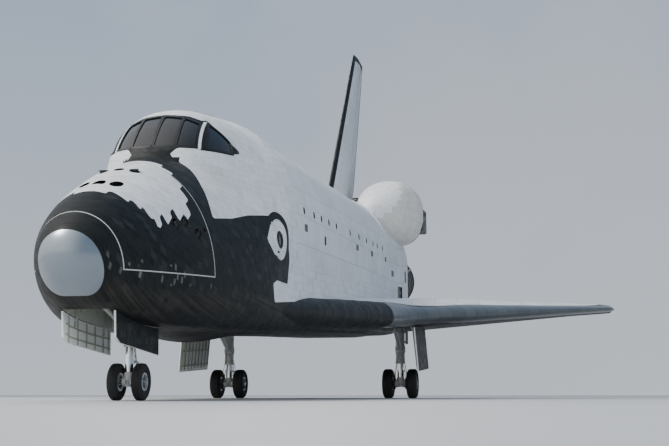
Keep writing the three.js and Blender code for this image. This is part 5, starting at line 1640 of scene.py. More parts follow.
for side, s in (("left", 1), ("right", -1)):
    g = wing_grid(s)
    surf = Surf(g)
    whole = solid(*loft(g), 0)
    wing = copy_of(whole)
    cut(wing, solid(*loft(skin_grid(np.concatenate([np.arange(300, 590, 6.0), np.arange(600, 1513, 12.0), [1512.3]]), 60, 0.02, False)), 1))
    for turn in (0, math.radians(35), math.radians(-20)):
        cut(wing, solid(*loft(elevon_grid((115.5, 436.6), s, 0.4, turn, 40)), 2))
    cut(wing, solid(*loft(np.array([hinge_ring([(0, -70), (260, -70), (260, 70), (0, 70)], y, s) for y in (115.5, 436.6)])), 2))
    x0, x1, y0, y1, zr = WELL_BOX
    cut(wing, box_cut(x0, x1, *((y0, y1) if s > 0 else (-y1, -y0)), 240, zr, 3))
    strip = [(x, s * y) for x, y in LE_STRIP]
    cut(wing, prism(strip, "z", 200, 400, 1))
    shade(wing, [surf], 0.006)
    wing_attrs(wing, s, over_camber)
    set_mats(wing, SKIN, PORT, DARK, WELL)
    finish(wing, f"wing_{side}_skin", "airframe", [f"wing_{side}"])
    edge = cut(whole, prism(offset(strip, -0.02), "z", 200, 400, 1), "INTERSECT")
    # split into panels across the edge
    stations = []
    line = [(float(pchip(WING[:, 0], WING[:, 1], [y])[0]), y) for y in np.linspace(150, 466, 400)]
    run = np.concatenate([[0], np.cumsum(np.hypot(*np.diff(np.array(line), axis=0).T))])
    for d_ in np.arange(13, run[-1] - 6, 21.5):
        x, y = np.interp(d_, run, [a for a, _ in line]), np.interp(d_, run, [b for _, b in line])
        x2, y2 = np.interp(d_ + 3, run, [a for a, _ in line]), np.interp(d_ + 3, run, [b for _, b in line])
        t = np.array([x2 - x, y2 - y]) / math.hypot(x2 - x, y2 - y)
        nrm2 = np.array([t[1], -t[0]])                      # inboard and aft
        c, w = np.array([x, y]), 0.17
        pts = [c - t * w - nrm2 * 30, c + t * w - nrm2 * 30, c + t * w + nrm2 * 70, c - t * w + nrm2 * 70]
        cut(edge, prism([(a, s * b) for a, b in pts], "z", 200, 400, 1))
    shade(edge, [surf], 0.006)
    p = WI(co_of(edge.data))
    la = np.array(line)
    near = np.hypot(p[:, 0][:, None] - la[None, :, 0], np.abs(p[:, 1])[:, None] - la[None, :, 1]).argmin(1)
    attr(edge, "tile", np.stack([p[:, 0], (run[near] - 13) / 21.5 * 25.0, np.zeros(len(p))], 1))
    set_mats(edge, CARBON, DARK)
    edge.data.validate()
    finish(edge, f"leading_edge_{side}_panels", "airframe", [f"leading_edge_{side}"])

    for name, ya, yb in (("inboard", 116, 312), ("outboard", 313, 436)):
        ys = np.unique(np.concatenate([[ya, ya + 0.4], np.linspace(ya + 6, yb - 6, 12), [yb - 0.4, yb]]))
        g = elevon_grid(ys, s, 0.0, 0.0, 30)
        o = solid(*loft(g), 0)
        remap(o, lambda c, n, i: np.where(np.abs(n[:, 1]) > 0.8, 1, 0))
        by_angle(o, 28)
        p = WI(co_of(o.data))
        top = p[:, 2] > hinge_z(np.abs(p[:, 1])) - (p[:, 0] - 1387) * 4.8 / (wing_te(np.abs(p[:, 1])) - 1387)
        attr(o, "tile", np.stack([p[:, 0], np.abs(p[:, 1]) + 300, np.zeros(len(p))], 1))
        attr(o, "paint", np.stack([np.where(top & (p[:, 0] > 1387), 12.0, -12.0), np.full(len(p), 1.0), np.where(top, 0, -0.4)], 1))
        set_mats(o, SKIN, DARK)
        body = f"elevon_{name}_{side}"
        finish(o, f"{body}_skin", body, [body])
        k = Kit()                                             # pale panels under the elevon and hinge rods
        k.cyl(hinge_ring([(0, 0)], ya + 0.3, s)[0], hinge_ring([(0, 0)], ya - 0.35, s)[0], 2.2, 2.2, 24, 0)
        for f in (0.22, 0.5, 0.78):
            y = ya + (yb - ya) * f
            low_ = [hinge_ring([(R, -elevon_r(y) + (elevon_r(y) - 5.4) * R / (wing_te(y) - 1387) - 0.12)], yy, s)[0] for R in (14, 40) for yy in (y - 2, y + 2)]
            k.add(np.concatenate([np.array([low_[0], low_[1], low_[3], low_[2]]), np.array([low_[0], low_[1], low_[3], low_[2]]) + [0, 0, 0.4]]),
                  [(0, 1, 2, 3), (7, 6, 5, 4), (0, 4, 5, 1), (1, 5, 6, 2), (2, 6, 7, 3), (3, 7, 4, 0)], 1)
        k.object(f"{body}_fittings", [STEEL, SEAL], body)

# panels under the wing and round the wheel wells
k = Kit()
for s in (1, -1):
    for x, y, w, h in ((1241, 122, 40, 12), (1290, 140, 26, 16)):
        z = float(wing_low(x, y))
        q = rounded([(x - w / 2, s * (y - h / 2)), (x + w / 2, s * (y - h / 2)), (x + w / 2, s * (y + h / 2)), (x - w / 2, s * (y + h / 2))], 1.5, 4)
        k.prism(q, "z", z - 0.25, z + 2.5, 0)
k.object("wing_service_panels", [plain("panel_tan", (0.34, 0.33, 0.30), 0.6, 0.0, 0.12, 5.0, 0.0006, 40.0, 0.35)], "airframe")

# ------------------------------------------------------------------ body flap
pts = [(1522.6 + 9.5 * math.cos(a), 288 + 9.5 * math.sin(a)) for a in np.linspace(math.pi / 2 - 0.06, 1.5 * math.pi + 0.02, 30)]
pts += [(1612.6, 280), (1612.6, 286)]
ys = np.unique(np.concatenate([[-124, -123.5], np.linspace(-116, 116, 17), [123.5, 124]]))
o = solid(*loft(np.array([[(x, y, z) for x, z in pts] for y in ys])), 0)
by_angle(o, 28)
remap(o, lambda c, n, i: np.where(np.abs(n[:, 1]) > 0.8, 1, 0))
p = WI(co_of(o.data))
attr(o, "tile", np.stack([p[:, 0], p[:, 1] + 600, np.zeros(len(p))], 1))
attr(o, "paint", np.stack([np.full(len(p), -12.0), np.ones(len(p)), np.full(len(p), -0.5)], 1))
set_mats(o, SKIN, DARK)
finish(o, "body_flap_skin", "body_flap", ["body_flap"])

# ------------------------------------------------------------------ fin, rudder spar, speed brake
FIN_LE, FIN_TE = [(1308, 502), (1597, 818.7)], [(1549.4, 502), (1705, 818.7)]
RUD = [(1505, 600), (1644, 799)]
FIN_ROWS = np.array([[480, 14, 9.4], [600, 12, 9.2], [799, 7.5, 6], [818.7, 3.2, 2.6]])


def on_line(line, z):
    (x0, z0), (x1, z1) = line
    return x0 + (x1 - x0) * (z - z0) / (z1 - z0)


def fin_ring(z, extra=0.0, n=16):
    th, tq = np.interp(z, FIN_ROWS[:, 0], FIN_ROWS[:, 1]) + extra, np.interp(z, FIN_ROWS[:, 0], FIN_ROWS[:, 2]) + extra
    a, b = on_line(FIN_LE, z), on_line(FIN_TE, z)
    c = b - a
    h = min(on_line(RUD, z), a + 0.9 * c)
    u = np.array([0, 0.02, 0.1, 0.25, 0.42]) * c
    w = np.array([0, 0.25, 0.55, 0.88, 1.0]) * th
    q = np.sqrt(u)
    uu = np.linspace(0, q[-1], n)
    hx, hy = list(a + uu**2), list(pchip(q, w, uu))
    hx += list(np.linspace(a + 0.42 * c, max(h, a + 0.5 * c), 5)[1:]) + list(np.linspace(max(h, a + 0.5 * c), b, 4)[1:])
    hy += list(np.linspace(th, tq, 5)[1:]) + list(np.linspace(tq, 0.8, 4)[1:])
    half = list(zip(hx, hy))
    return [(x, y, z) for x, y in half] + [(x, -y, z) for x, y in half[1:][::-1]]


fz = np.unique(np.concatenate([np.linspace(480, 799, 40), [804, 809, 813, 816, 818, 818.7]]))
fin_grid = np.array([fin_ring(z) for z in fz])
FIN_SURF = Surf(fin_grid)
fin = solid(*loft(fin_grid), 0)
body_big = lambda m=1: solid(*loft(skin_grid(np.concatenate([np.arange(1280, 1513, 6.0), [1512.3]]), 60, 0.02, False)), m)
cut(fin, body_big())
HU = np.array([RUD[1][0] - RUD[0][0], RUD[1][1] - RUD[0][1]], float)
HLEN = float(np.linalg.norm(HU))
HU /= HLEN


def on_rudder(u, v, y):
    return (RUD[0][0] + HU[0] * u + HU[1] * v, y, RUD[0][1] + HU[1] * u - HU[0] * v)


lerp = lambda a, b, t: a + (b - a) * t
bay = []
for u, t in ((-0.6, 0), (HLEN + 0.6, 1)):
    f = -(lerp(8.6, 5.6, t) + 0.7)
    bay.append([on_rudder(u, v, y) for v, y in ((f, -30), (f, 30), (140, 30), (140, -30))])
cut(fin, solid(*loft(np.array(bay)), 1))
cut(fin, prism([(1504, 470), (1504, 498), (1513, 503), (1556, 532), (1640, 585), (1640, 470)], "y", -40, 40, 1))
cut(fin, box_cut(1290, 1720, -30, 30, 495.5, 830, 1), "INTERSECT")


def fin_paint(p):
    le = np.abs((p[:, 0] - FIN_LE[0][0]) * (FIN_LE[1][1] - FIN_LE[0][1]) - (p[:, 2] - FIN_LE[0][1]) * (FIN_LE[1][0] - FIN_LE[0][0])) / math.hypot(289, 316.7)
    d = np.minimum(le - 7.5, 806 - p[:, 2])
    te = on_line(FIN_TE, p[:, 2]) - p[:, 0]
    d = np.minimum(d, te - 9.0)
    return np.stack([d, np.where(p[:, 2] > 520, -1.0, 1.0), np.zeros(len(p))], 1)


shade(fin, [FIN_SURF], 0.008)
p = WI(co_of(fin.data))
attr(fin, "tile", np.stack([p[:, 2], p[:, 0] - on_line(FIN_LE, p[:, 2]), np.zeros(len(p))], 1))
attr(fin, "paint", fin_paint(p))
set_mats(fin, SKIN, DARK)
finish(fin, "fin_skin", "airframe", ["fin"])

k = Kit()
a_, b_ = np.array(on_rudder(0, 0, 0)), np.array(on_rudder(HLEN, 0, 0))
ax = (b_ - a_) / HLEN
prof = [(0, 0), (0, 6.6)]
for i in range(1, 10):
    u = HLEN * i / 10
    r = lerp(6.8, 4.0, i / 10)
    prof += [(u - 3.2, r - 0.5), (u - 3.0, r - 0.02), (u + 3.0, r - 0.02), (u + 3.2, r - 0.5)]
prof += [(HLEN, 3.9), (HLEN, 0)]
k.lathe(a_, ax, prof, 64, 0)
k.object("rudder_spar_tube", [STEEL], "rudder", "spar_metal", ["rudder_spar"])

for side, s in (("left", 1), ("right", -1)):
    rings = []
    for t in np.concatenate([[0, 0.002], np.linspace(0.03, 0.97, 14), [0.998, 1]]):
        ri, ro, c = lerp(6.8, 4.0, t) + 0.3, lerp(8.6, 5.6, t), lerp(84, 46.8, t)
        q = [(ri * math.cos(a), ri * math.sin(a)) for a in np.linspace(0.04, math.pi / 2, 16)]
        n_ = 8
        q += [(0, ro)] + [(c * i / n_, ro + (1.0 - ro) * i / n_) for i in range(1, n_ + 1)] + [(c, 0.25)]
        rings.append([on_rudder(t * HLEN, v, s * y) for v, y in q])
    o = solid(*loft(np.array(rings)), 0)
    by_angle(o, 24)
    remap(o, lambda c, n, i: np.where(np.abs(n[:, 1]) < 0.7, 1, 0))
    p = WI(co_of(o.data))
    attr(o, "tile", np.stack([p[:, 2], p[:, 0] - on_line(FIN_LE, p[:, 2]), np.zeros(len(p))], 1))
    u = (p[:, 0] - RUD[0][0]) * HU[0] + (p[:, 2] - RUD[0][1]) * HU[1]
    v = (p[:, 0] - RUD[0][0]) * HU[1] - (p[:, 2] - RUD[0][1]) * HU[0]
    d = np.minimum(lerp(84, 46.8, u / HLEN) - v - 9.0, 800 - p[:, 2])
    attr(o, "paint", np.stack([d, np.full(len(p), -1.0), np.zeros(len(p))], 1))
    set_mats(o, SKIN, DARK)
    body = f"speed_brake_{side}"
    finish(o, f"{body}_panel", body, [body])


# ------------------------------------------------------------------ orbital engine pods
def pod_material():
    g = Nodes("pod_blanket", Specular_IOR_Level=0.4)
    X, s, _ = g.attr("tile")
    d, b, _ = g.attr("paint")
    p = g.place()
    n, f = g.noise(p, 1.2, 5, 0.6), g.noise(p, 14.0, 4)
    fu, fv, edge, (r0, r1, r2) = cells(g, X, s, 17.0, 0.5, 9.0)
    gap = g.step(edge, 0.10, 0.42)
    tan = g.mix(n, (0.64, 0.625, 0.565), (0.77, 0.755, 0.70))
    white = g.mix(n, (0.84, 0.85, 0.86), (0.90, 0.90, 0.90))
    col = g.mix(g.step(d, -0.6, 0.6), white, tan)
    col = g.tint(col, r0 * 0.10 + 0.93)
    col = g.mix((1 - gap) * 0.5, col, (0.30, 0.28, 0.25))
    col = g.mix(g.step(f, 0.55, 0.8) * 0.2, col, (0.42, 0.39, 0.33))
    dark = b.lt(0.0)
    hu, hv, e2, (q0, q1, q2) = cells(g, X, s, 6.0, 0.5, 1.0)
    gap2 = g.step(e2, 0.04, 0.16)
    black = g.mix(q0, (0.012, 0.013, 0.015), (0.034, 0.034, 0.036))
    black = g.mix(1 - gap2, black, (0.055, 0.055, 0.053))
    g.set("Base Color", g.mix(dark, col, black))
    g.set("Roughness", g.mixf(dark, r1 * 0.1 + 0.70, q1 * 0.25 + 0.38))
    g.bump(g.mixf(dark, gap * 0.005 + n * 0.006, gap2 * 0.002) + f * 0.0006, 0.9)
    return g.mat


POD_SKIN = pod_material()
NOZ = dict(X=1518, y=88, z=492, up=15.8, out=6.5)
for side, s in (("left", 1), ("right", -1)):
    xs = np.unique(np.concatenate([1311 + np.linspace(0, 1, 12) ** 2 * 34, np.linspace(1345, 1525, 24), np.linspace(1525, 1542, 6)]))
    rows = np.stack([xs] + [pchip(np.sqrt(POD[:, 0] - 1310.9), POD[:, k], np.sqrt(xs - 1310.9)) for k in range(1, 5)], 1)
    a = np.linspace(0, 2 * math.pi, 88, endpoint=False)
    kk = 2 / 2.4
    g = np.array([[(x, s * (y + hw * np.sign(math.cos(t)) * abs(math.cos(t)) ** kk), z + hh * np.sign(math.sin(t)) * abs(math.sin(t)) ** kk) for t in a]
                  for x, y, z, hw, hh in rows])
    surf = Surf(g)
    pod = solid(*loft(g), 0)
    hy = (120, 141) if s > 0 else (-141, -120)
    house = []
    for x, w in ((1496, 0.4), (1497.2, 0), (1530, 0), (1568.6, 0), (1570, 0.5)):
        q = rounded([(hy[0] + w, 456 + w), (hy[1] - w, 456 + w), (hy[1] - w, 500 - w), (hy[0] + w, 500 - w)], 4.0, 7)
        house.append([(x, yy, zz) for yy, zz in q])
    cut(pod, solid(*loft(np.array(house)), 3), "UNION")
    cut(pod, body_big(1))
    cut(pod, solid(*loft(np.array([fin_ring(z, 0.4) for z in np.linspace(480, 600, 16)])), 1))
    o0, d0 = line_of(NOZ["X"], s * NOZ["y"], NOZ["z"], NOZ["up"], s * NOZ["out"])
    cut(pod, rod_cut(o0 + d0 * 2, o0 + d0 * 60, 15, 26, 72, 2))
    holes = []
    for x, z in ((1506, 490), (1519, 490), (1532, 490), (1545, 490)):        # sideways thrusters
        holes.append(((x, s * 141, z), (0, s, 0.05), 3.6))
    for x in (1510, 1524, 1538):
        holes.append(((x, s * 131, 456), (0, s * 0.1, -1), 3.6))
    for y in (126, 135):
        holes.append(((1570, s * y, 486), (1, 0, 0.05), 3.4))
    for x in (1500, 1513, 1526):
        holes.append(((x, s * 90, 544.3), (0, 0, 1), 3.8))
    kk_ = Kit()
    for c, d, r in holes:
        c, d = np.array(c, float), np.array(d, float) / np.linalg.norm(d)
        cut(pod, rod_cut(c - d * 5, c + d * 12, r, r + 0.8, 32, 2))
        kk_.lathe(c, d, [(-4.9, 0), (-4.9, r * 0.4), (-0.9, r * 0.92), (-0.9, r * 0.82), (-4.0, r * 0.3), (-4.0, 0)], 28, 0)
    kk_.object(f"engine_pod_{side}_thrusters", [DARK], "airframe")
    shade(pod, [surf], 0.006)
    p = WI(co_of(pod.data))
    th = np.arctan2(p[:, 2] - 487, (np.abs(p[:, 1]) - 86))
    attr(pod, "tile", np.stack([p[:, 0], th * 52, np.zeros(len(p))], 1))
    X, Z = p[:, 0], p[:, 2]
    # white triangular cap on the upper front with a stepped edge, cream below, black tiles on the thruster housing
    steps = [(1290, 600), (1290, 458), (1318, 458), (1318, 466), (1332, 466), (1332, 476), (1347, 476), (1347, 488), (1362, 488),
             (1362, 501), (1378, 501), (1378, 514), (1396, 514), (1396, 527), (1416, 527), (1416, 537), (1440, 537), (1440, 600)]
    d = sdf(np.stack([X, Z], 1), steps)
    dark = np.minimum(np.where(np.maximum(1494 - X, 112 - np.abs(p[:, 1])) < 0, -5.0, 5.0), 1534 - X)
    attr(pod, "paint", np.stack([d, dark, np.zeros(len(p))], 1))
    set_mats(pod, POD_SKIN, SEAL, PORT, POD_SKIN)
    finish(pod, f"engine_pod_{side}_skin", "airframe", [f"engine_pod_{side}"])
    hoops = [(0.04, 0.8, 0.9)] + [(t, 0.35, 0.5) for t in (0.2, 0.35, 0.5, 0.65, 0.8)] + [(0.99, 0.35, 0.6)]
    o, kk2, s_, r_, tile = bell(o0, d0, 8, 74, 8, 21.5, 1.2, hoops, 96)
    attr(o, "tile", tile)
    set_mats(o, BELL2)
    finish(o, f"orbital_nozzle_{side}_bell", "airframe", [f"orbital_nozzle_{side}"])
    kk2.lathe(o0, d0, [(2.2, 0), (2.2, 6.5), (8, 8), (9, 8.4), (9, 0)], 40, 0)
    kk2.torus(o0 + d0 * 10, d0, 9.5, 0.9, 48, 10, 1)
    kk2.object(f"orbital_nozzle_{side}_fittings", [DARK, STEEL], "airframe", "engine_metal")


# ------------------------------------------------------------------ landing gear
def local(joint, p):
    """Orbiter inches to inches round a joint, level with the ground."""
    return (W(p) - np.array(JOINTS[joint]["pos_m"])) / IN


def tyre(name, joint, body, y, R, w, hub, replaces):
    """Ribbed aircraft tyre round the axle; y is its place along the axle."""
    h = w / 2
    prof = [(-h * 0.70, hub), (-h * 0.86, hub + 0.5), (-h * 0.93, hub + 1.4)]
    for t in np.linspace(0, 1, 9):
        a = math.radians(-35 + 100 * t)
        prof.append((-h * (0.62 + 0.38 * math.cos(a)), hub + (R - hub) * (0.45 + 0.46 * math.sin(a))))
    tread = h * 0.66
    crown = lambda q: R - (q / h) ** 2 * R * 0.045
    prof.append((-tread, crown(tread)))
    for c in (-0.46, -0.16, 0.16, 0.46):
        g = 0.035 * h
        prof += [(c * h - g - 0.08, crown(c * h)), (c * h - g, crown(c * h) - 0.42), (c * h + g, crown(c * h) - 0.42), (c * h + g + 0.08, crown(c * h))]
        if c == -0.16:
            prof.append((0, R))
    prof.append((tread, crown(tread)))
    left = [p for p in prof if p[0] < -tread - 1e-6]
    prof += [(-a, r) for a, r in left[::-1]]
    o0 = np.array([0, y, 0.0])
    k = Kit(at(joint))
    k.lathe(o0, (0, 1, 0), prof, 96, 0)
    for s in (1, -1):                                        # raised rings on the side walls
        for rr, hh in ((0.30, 0.22), (0.62, 0.16)):
            q = hub + (R - hub) * rr
            k.torus(o0 + [0, s * h * (0.955 if rr < 0.5 else 0.93), 0], (0, 1, 0), q, 0.28, 96, 8, 0)
    return k.object(name, [RUBBER], body, "tyre_rubber", replaces, 50)


def wheel_disc(joint, s, y, r, half, holes, hole_r, hole_at, side):
    """Dished wheel with lightening holes; side is not used."""
    prof = [(-half, r - 1.6), (-half, r), (-half + 0.9, r), (-half + 1.3, r - 0.7), (half - 1.3, r - 0.7), (half - 0.9, r), (half, r), (half, r - 1.6),
            (half - 1.2, r - 2.0), (half * 0.35, r * 0.62), (half * 0.35, r * 0.40), (half * 0.8, r * 0.36), (half * 0.8, 0.0)]
    prof = prof[:-1] + [(half * 0.8, 2.0 if r < 9 else 2.9), (-half * 0.8, 2.0 if r < 9 else 2.9), (-half * 0.8, r * 0.36), (-half * 0.35, r * 0.40), (-half * 0.35, r * 0.62), (-half + 1.2, r - 2.0)]
    v, f = lathe_vf((0, y, 0), (0, 1, 0), prof, 72)
    T = at(joint)
    v = T(v)
    if tri_volume(v - v.mean(0), f) < 0:
        f = [tuple(reversed(q)) for q in f]
    o = add_object("disc", new_mesh("disc", v, f, [0] * len(f)))
    for m in SPARE:
        o.data.materials.append(m)
    for i in range(holes):
        a = 2 * math.pi * i / holes
        c = np.array([hole_at * math.cos(a), y, hole_at * math.sin(a)])
        hv, hf = lathe_vf(c - [0, 12, 0], (0, 1, 0), [(0, 0), (0, hole_r), (24, hole_r), (24, 0)], 24)
        hv = T(hv)
        if tri_volume(hv - hv.mean(0), hf) < 0:
            hf = [tuple(reversed(q)) for q in hf]
        h = add_object("hole", new_mesh("hole", hv, hf, [1] * len(hf)))
        for m in SPARE:
            h.data.materials.append(m)
        cut(o, h)
    return o


def wheels(name, joint, body, ys, r, half, axle_r, axle_half, node, holes, hole_r, hole_at):
    discs = [wheel_disc(joint, 1, y, r, half, holes, hole_r, hole_at, 1 if y > 0 else -1) for y in ys]
    o = join(discs, name)
    by_angle(o, 35)
    set_mats(o, ALLOY, DARK)
    finish(o, name, body, node)
    k = Kit(at(joint))
    k.cyl((0, -axle_half, 0), (0, axle_half, 0), axle_r, axle_r, 40, 0, 0.3)
    for y in ys:
        s = 1 if y > 0 else -1
        k.lathe((0, y + s * half * 0.8, 0), (0, s, 0), [(0, 0), (0, r * 0.34), (0.8, r * 0.33), (1.6, r * 0.24), (1.9, r * 0.12), (1.9, 0)], 40, 0)
        for i in range(holes + 2):
            a = 2 * math.pi * (i + 0.5) / (holes + 2)
            c = np.array([r * 0.52 * math.cos(a), y + s * half * 0.33, r * 0.52 * math.sin(a)])
            k.cyl(c, c + [0, s * 0.7, 0], 0.42, 0.38, 6, 0)
        for i in range(3):
            a = 2 * math.pi * i / 3 + 0.4
            c = np.array([(r - 1.0) * math.cos(a), y + s * (half - 0.1), (r - 1.0) * math.sin(a)])
            k.cyl(c, c + [0, s * 0.6, 0], 0.3, 0.22, 10, 1)
    k.object(name + "_axle", [STEEL, DARK], body, "wheel_metal")


def torque_link(k, x0, z0, x1, z1, w0, w1, mat):
    """Flat forked arm of a scissors link, seen from the side."""
    a, b = np.array([x0, z0]), np.array([x1, z1])
    d = (b - a) / np.linalg.norm(b - a)
    n = np.array([-d[1], d[0]])
    for s in (1, -1):
        pts = [(*(a + n * 1.1), s * w0), (*(b + n * 0.8), s * w1), (*(b - n * 0.8), s * w1), (*(a - n * 1.1), s * w0)]
        v = []
        for off in (-0.45, 0.45):
            v += [(x, y + off, z) for x, z, y in pts]
        k.add(v, [(0, 1, 2, 3), (7, 6, 5, 4), (0, 4, 5, 1), (1, 5, 6, 2), (2, 6, 7, 3), (3, 7, 4, 0)], mat)
    for f in (0.35, 0.65):
        c = a + (b - a) * f
        w = w0 + (w1 - w0) * f
        k.cyl((c[0], -w, c[1]), (c[0], w, c[1]), 0.55, 0.55, 12, mat)
    k.cyl((x0, -w0 - 0.9, z0), (x0, w0 + 0.9, z0), 1.0, 1.0, 20, mat, 0.15)
    k.cyl((x1, -w1 - 0.9, z1), (x1, w1 + 0.9, z1), 0.95, 0.95, 20, mat, 0.15)


# nose gear
J = "nose_steering"
k = Kit(at(J))
roof = float(local(J, [[379, 0, 328]])[0, 2]) - 0.1
k.lathe((0, 0, 0), (0, 0, 1), [(34.2, 3.95), (34.2, 5.9), (37, 5.9), (37.3, 5.4), (46.5, 5.4), (47, 6.2), (52, 6.2), (52.5, 5.4), (76, 5.4), (77, 6.4), (87, 6.4), (88, 5.4), (roof, 5.4), (roof, 3.95)], 56, 0)
for z in (37.3, 46.0, 53.2, 62, 70):
    k.torus((0, 0, z), (0, 0, 1), 5.45, 0.22, 56, 8, 1)
k.cyl((0, -20.8, 82), (0, 20.8, 82), 4.2, 4.2, 40, 0, 0.3)
for s in (1, -1):
    k.cyl((0, s * 15.0, 82), (0, s * 20.8, 82), 5.2, 5.2, 40, 0, 0.5)
    k.box((-5.5, s * 19.0, 76), (5.5, s * 20.85, 90), 0, 0.8)
    end = local(J, [[300, s * 15, 322]])[0]
    st = np.array([3.0, s * 5.2, 48.0])
    mid = st + (end - st) * 0.52
    k.tube([st, st + (mid - st) * 0.5, mid], 2.0, 24, 0)
    k.tube([mid, mid + (end - mid) * 0.5, end - (end - st) / np.linalg.norm(end - st) * 2.2], 1.7, 24, 0)
    k.ball(mid, 2.5, 24, 0)
    k.cyl(mid - [0, 3.0, 0], mid + [0, 3.0, 0], 1.5, 1.5, 24, 1, 0.2)
    k.ball(st, 2.7, 24, 0)
    k.box(end - [2.6, 3.0, 3.0], end + [2.6, 3.0, 2.4], 0, 0.6)
    # steering actuators
    k.cyl((-2.0, s * 7.4, 41.8), (8.5, s * 7.4, 41.8), 1.7, 1.7, 28, 0, 0.3)
    k.cyl((-7.0, s * 6.9, 41.8), (-2.0, s * 7.3, 41.8), 0.8, 0.8, 20, 2)
    k.box((-1.0, s * 4.5, 40.6), (1.5, s * 7.0, 43.0), 0, 0.3)
k.cyl(mid * [1, -1, 1], mid, 1.1, 1.1, 20, 0)
k.lathe((0, 0, 0), (0, 0, 1), [(39.6, 5.4), (39.6, 6.6), (44.0, 6.6), (44.0, 5.4)], 56, 0)
k.tube(curve([(5.9, 1.5, 40), (6.8, 2.5, 50), (6.4, 2.0, 62), (6.6, 2.4, 74), (7.5, 3.0, roof - 3)], 24), 0.42, 10, 3)
k.tube(curve([(5.9, -1.5, 38), (7.2, -2.8, 48), (6.6, -2.2, 60), (6.8, -2.6, 72), (8.0, -3.4, roof - 3)], 24), 0.36, 10, 3)
k.tube(curve([(-6.0, 1.8, 45), (-6.6, 2.4, 58), (-6.2, 2.0, 76), (-8, 4, roof - 3)], 20), 0.30, 10, 4)
for z in (50, 62, 74):
    k.box((5.2, -3.4, z - 0.5), (7.6, 3.4, z + 0.5), 1, 0.15)
k.cyl((-6.2, 0, 56), (-6.2, 0, 70), 1.5, 1.5, 24, 1, 0.3)
k.object("nose_gear_leg_assembly", [GEAR, STEEL, CHROME, HOSE, COPPER], "airframe", "gear_paint", ["nose_gear_leg"])

k = Kit(at(J))
k.lathe((0, 0, 0), (0, 0, 1), [(-4, 0), (-4, 4.0), (-3.4, 4.6), (7.4, 4.6), (8, 4.2), (8.2, 3.6), (43.6, 3.6), (43.6, 0)], 48, 0)
k.lathe((0, 0, 0), (0, 0, 1), [(8.4, 3.62), (8.4, 3.66), (33.6, 3.66), (33.6, 3.62)], 48, 1)
k.lathe((0, 0, 0), (0, 0, 1), [(29.8, 3.7), (29.8, 5.3), (33.2, 5.3), (33.2, 3.7)], 48, 0)
k.cyl((0, -5.4, 0), (0, 5.4, 0), 4.2, 4.2, 40, 0, 0.4)
torque_link(k, -5.6, 31.0, -14.0, 17.6, 2.2, 1.0, 0)
torque_link(k, -4.8, 4.2, -14.0, 16.9, 2.6, 1.9, 0)
k.cyl((-5.6, 0, 31.0), (-2, 0, 31.0), 1.8, 2.2, 20, 0)
k.cyl((-4.8, 0, 4.2), (-2, 0, 4.2), 2.0, 2.4, 20, 0)
k.cyl((-14.0, -3.4, 17.2), (-14.0, 3.4, 17.2), 0.6, 0.6, 16, 2)
k.box((3.6, -1.4, -2.6), (6.2, 1.4, 1.6), 0, 0.4)
k.torus((6.4, 0, -0.4), (0, 1, 0), 1.3, 0.45, 24, 10, 2)
k.object("nose_gear_piston_assembly", [GEAR, CHROME, STEEL], "nose_steering_post", "gear_paint", ["nose_gear_piston"])
wheels("nose_wheel_hubs_pair", "nose_wheel_spin", "nose_wheels", (11, -11), 7.9, 3.4, 2.1, 15.4, ["nose_wheel_hubs"], 8, 0.85, 5.0)
for side, s in (("left", 1), ("right", -1)):
    tyre(f"nose_tyre_{side}_ribbed", "nose_wheel_spin", "nose_wheels", s * 11, 16, 8.8, 8.2, [f"nose_tyre_{side}"])

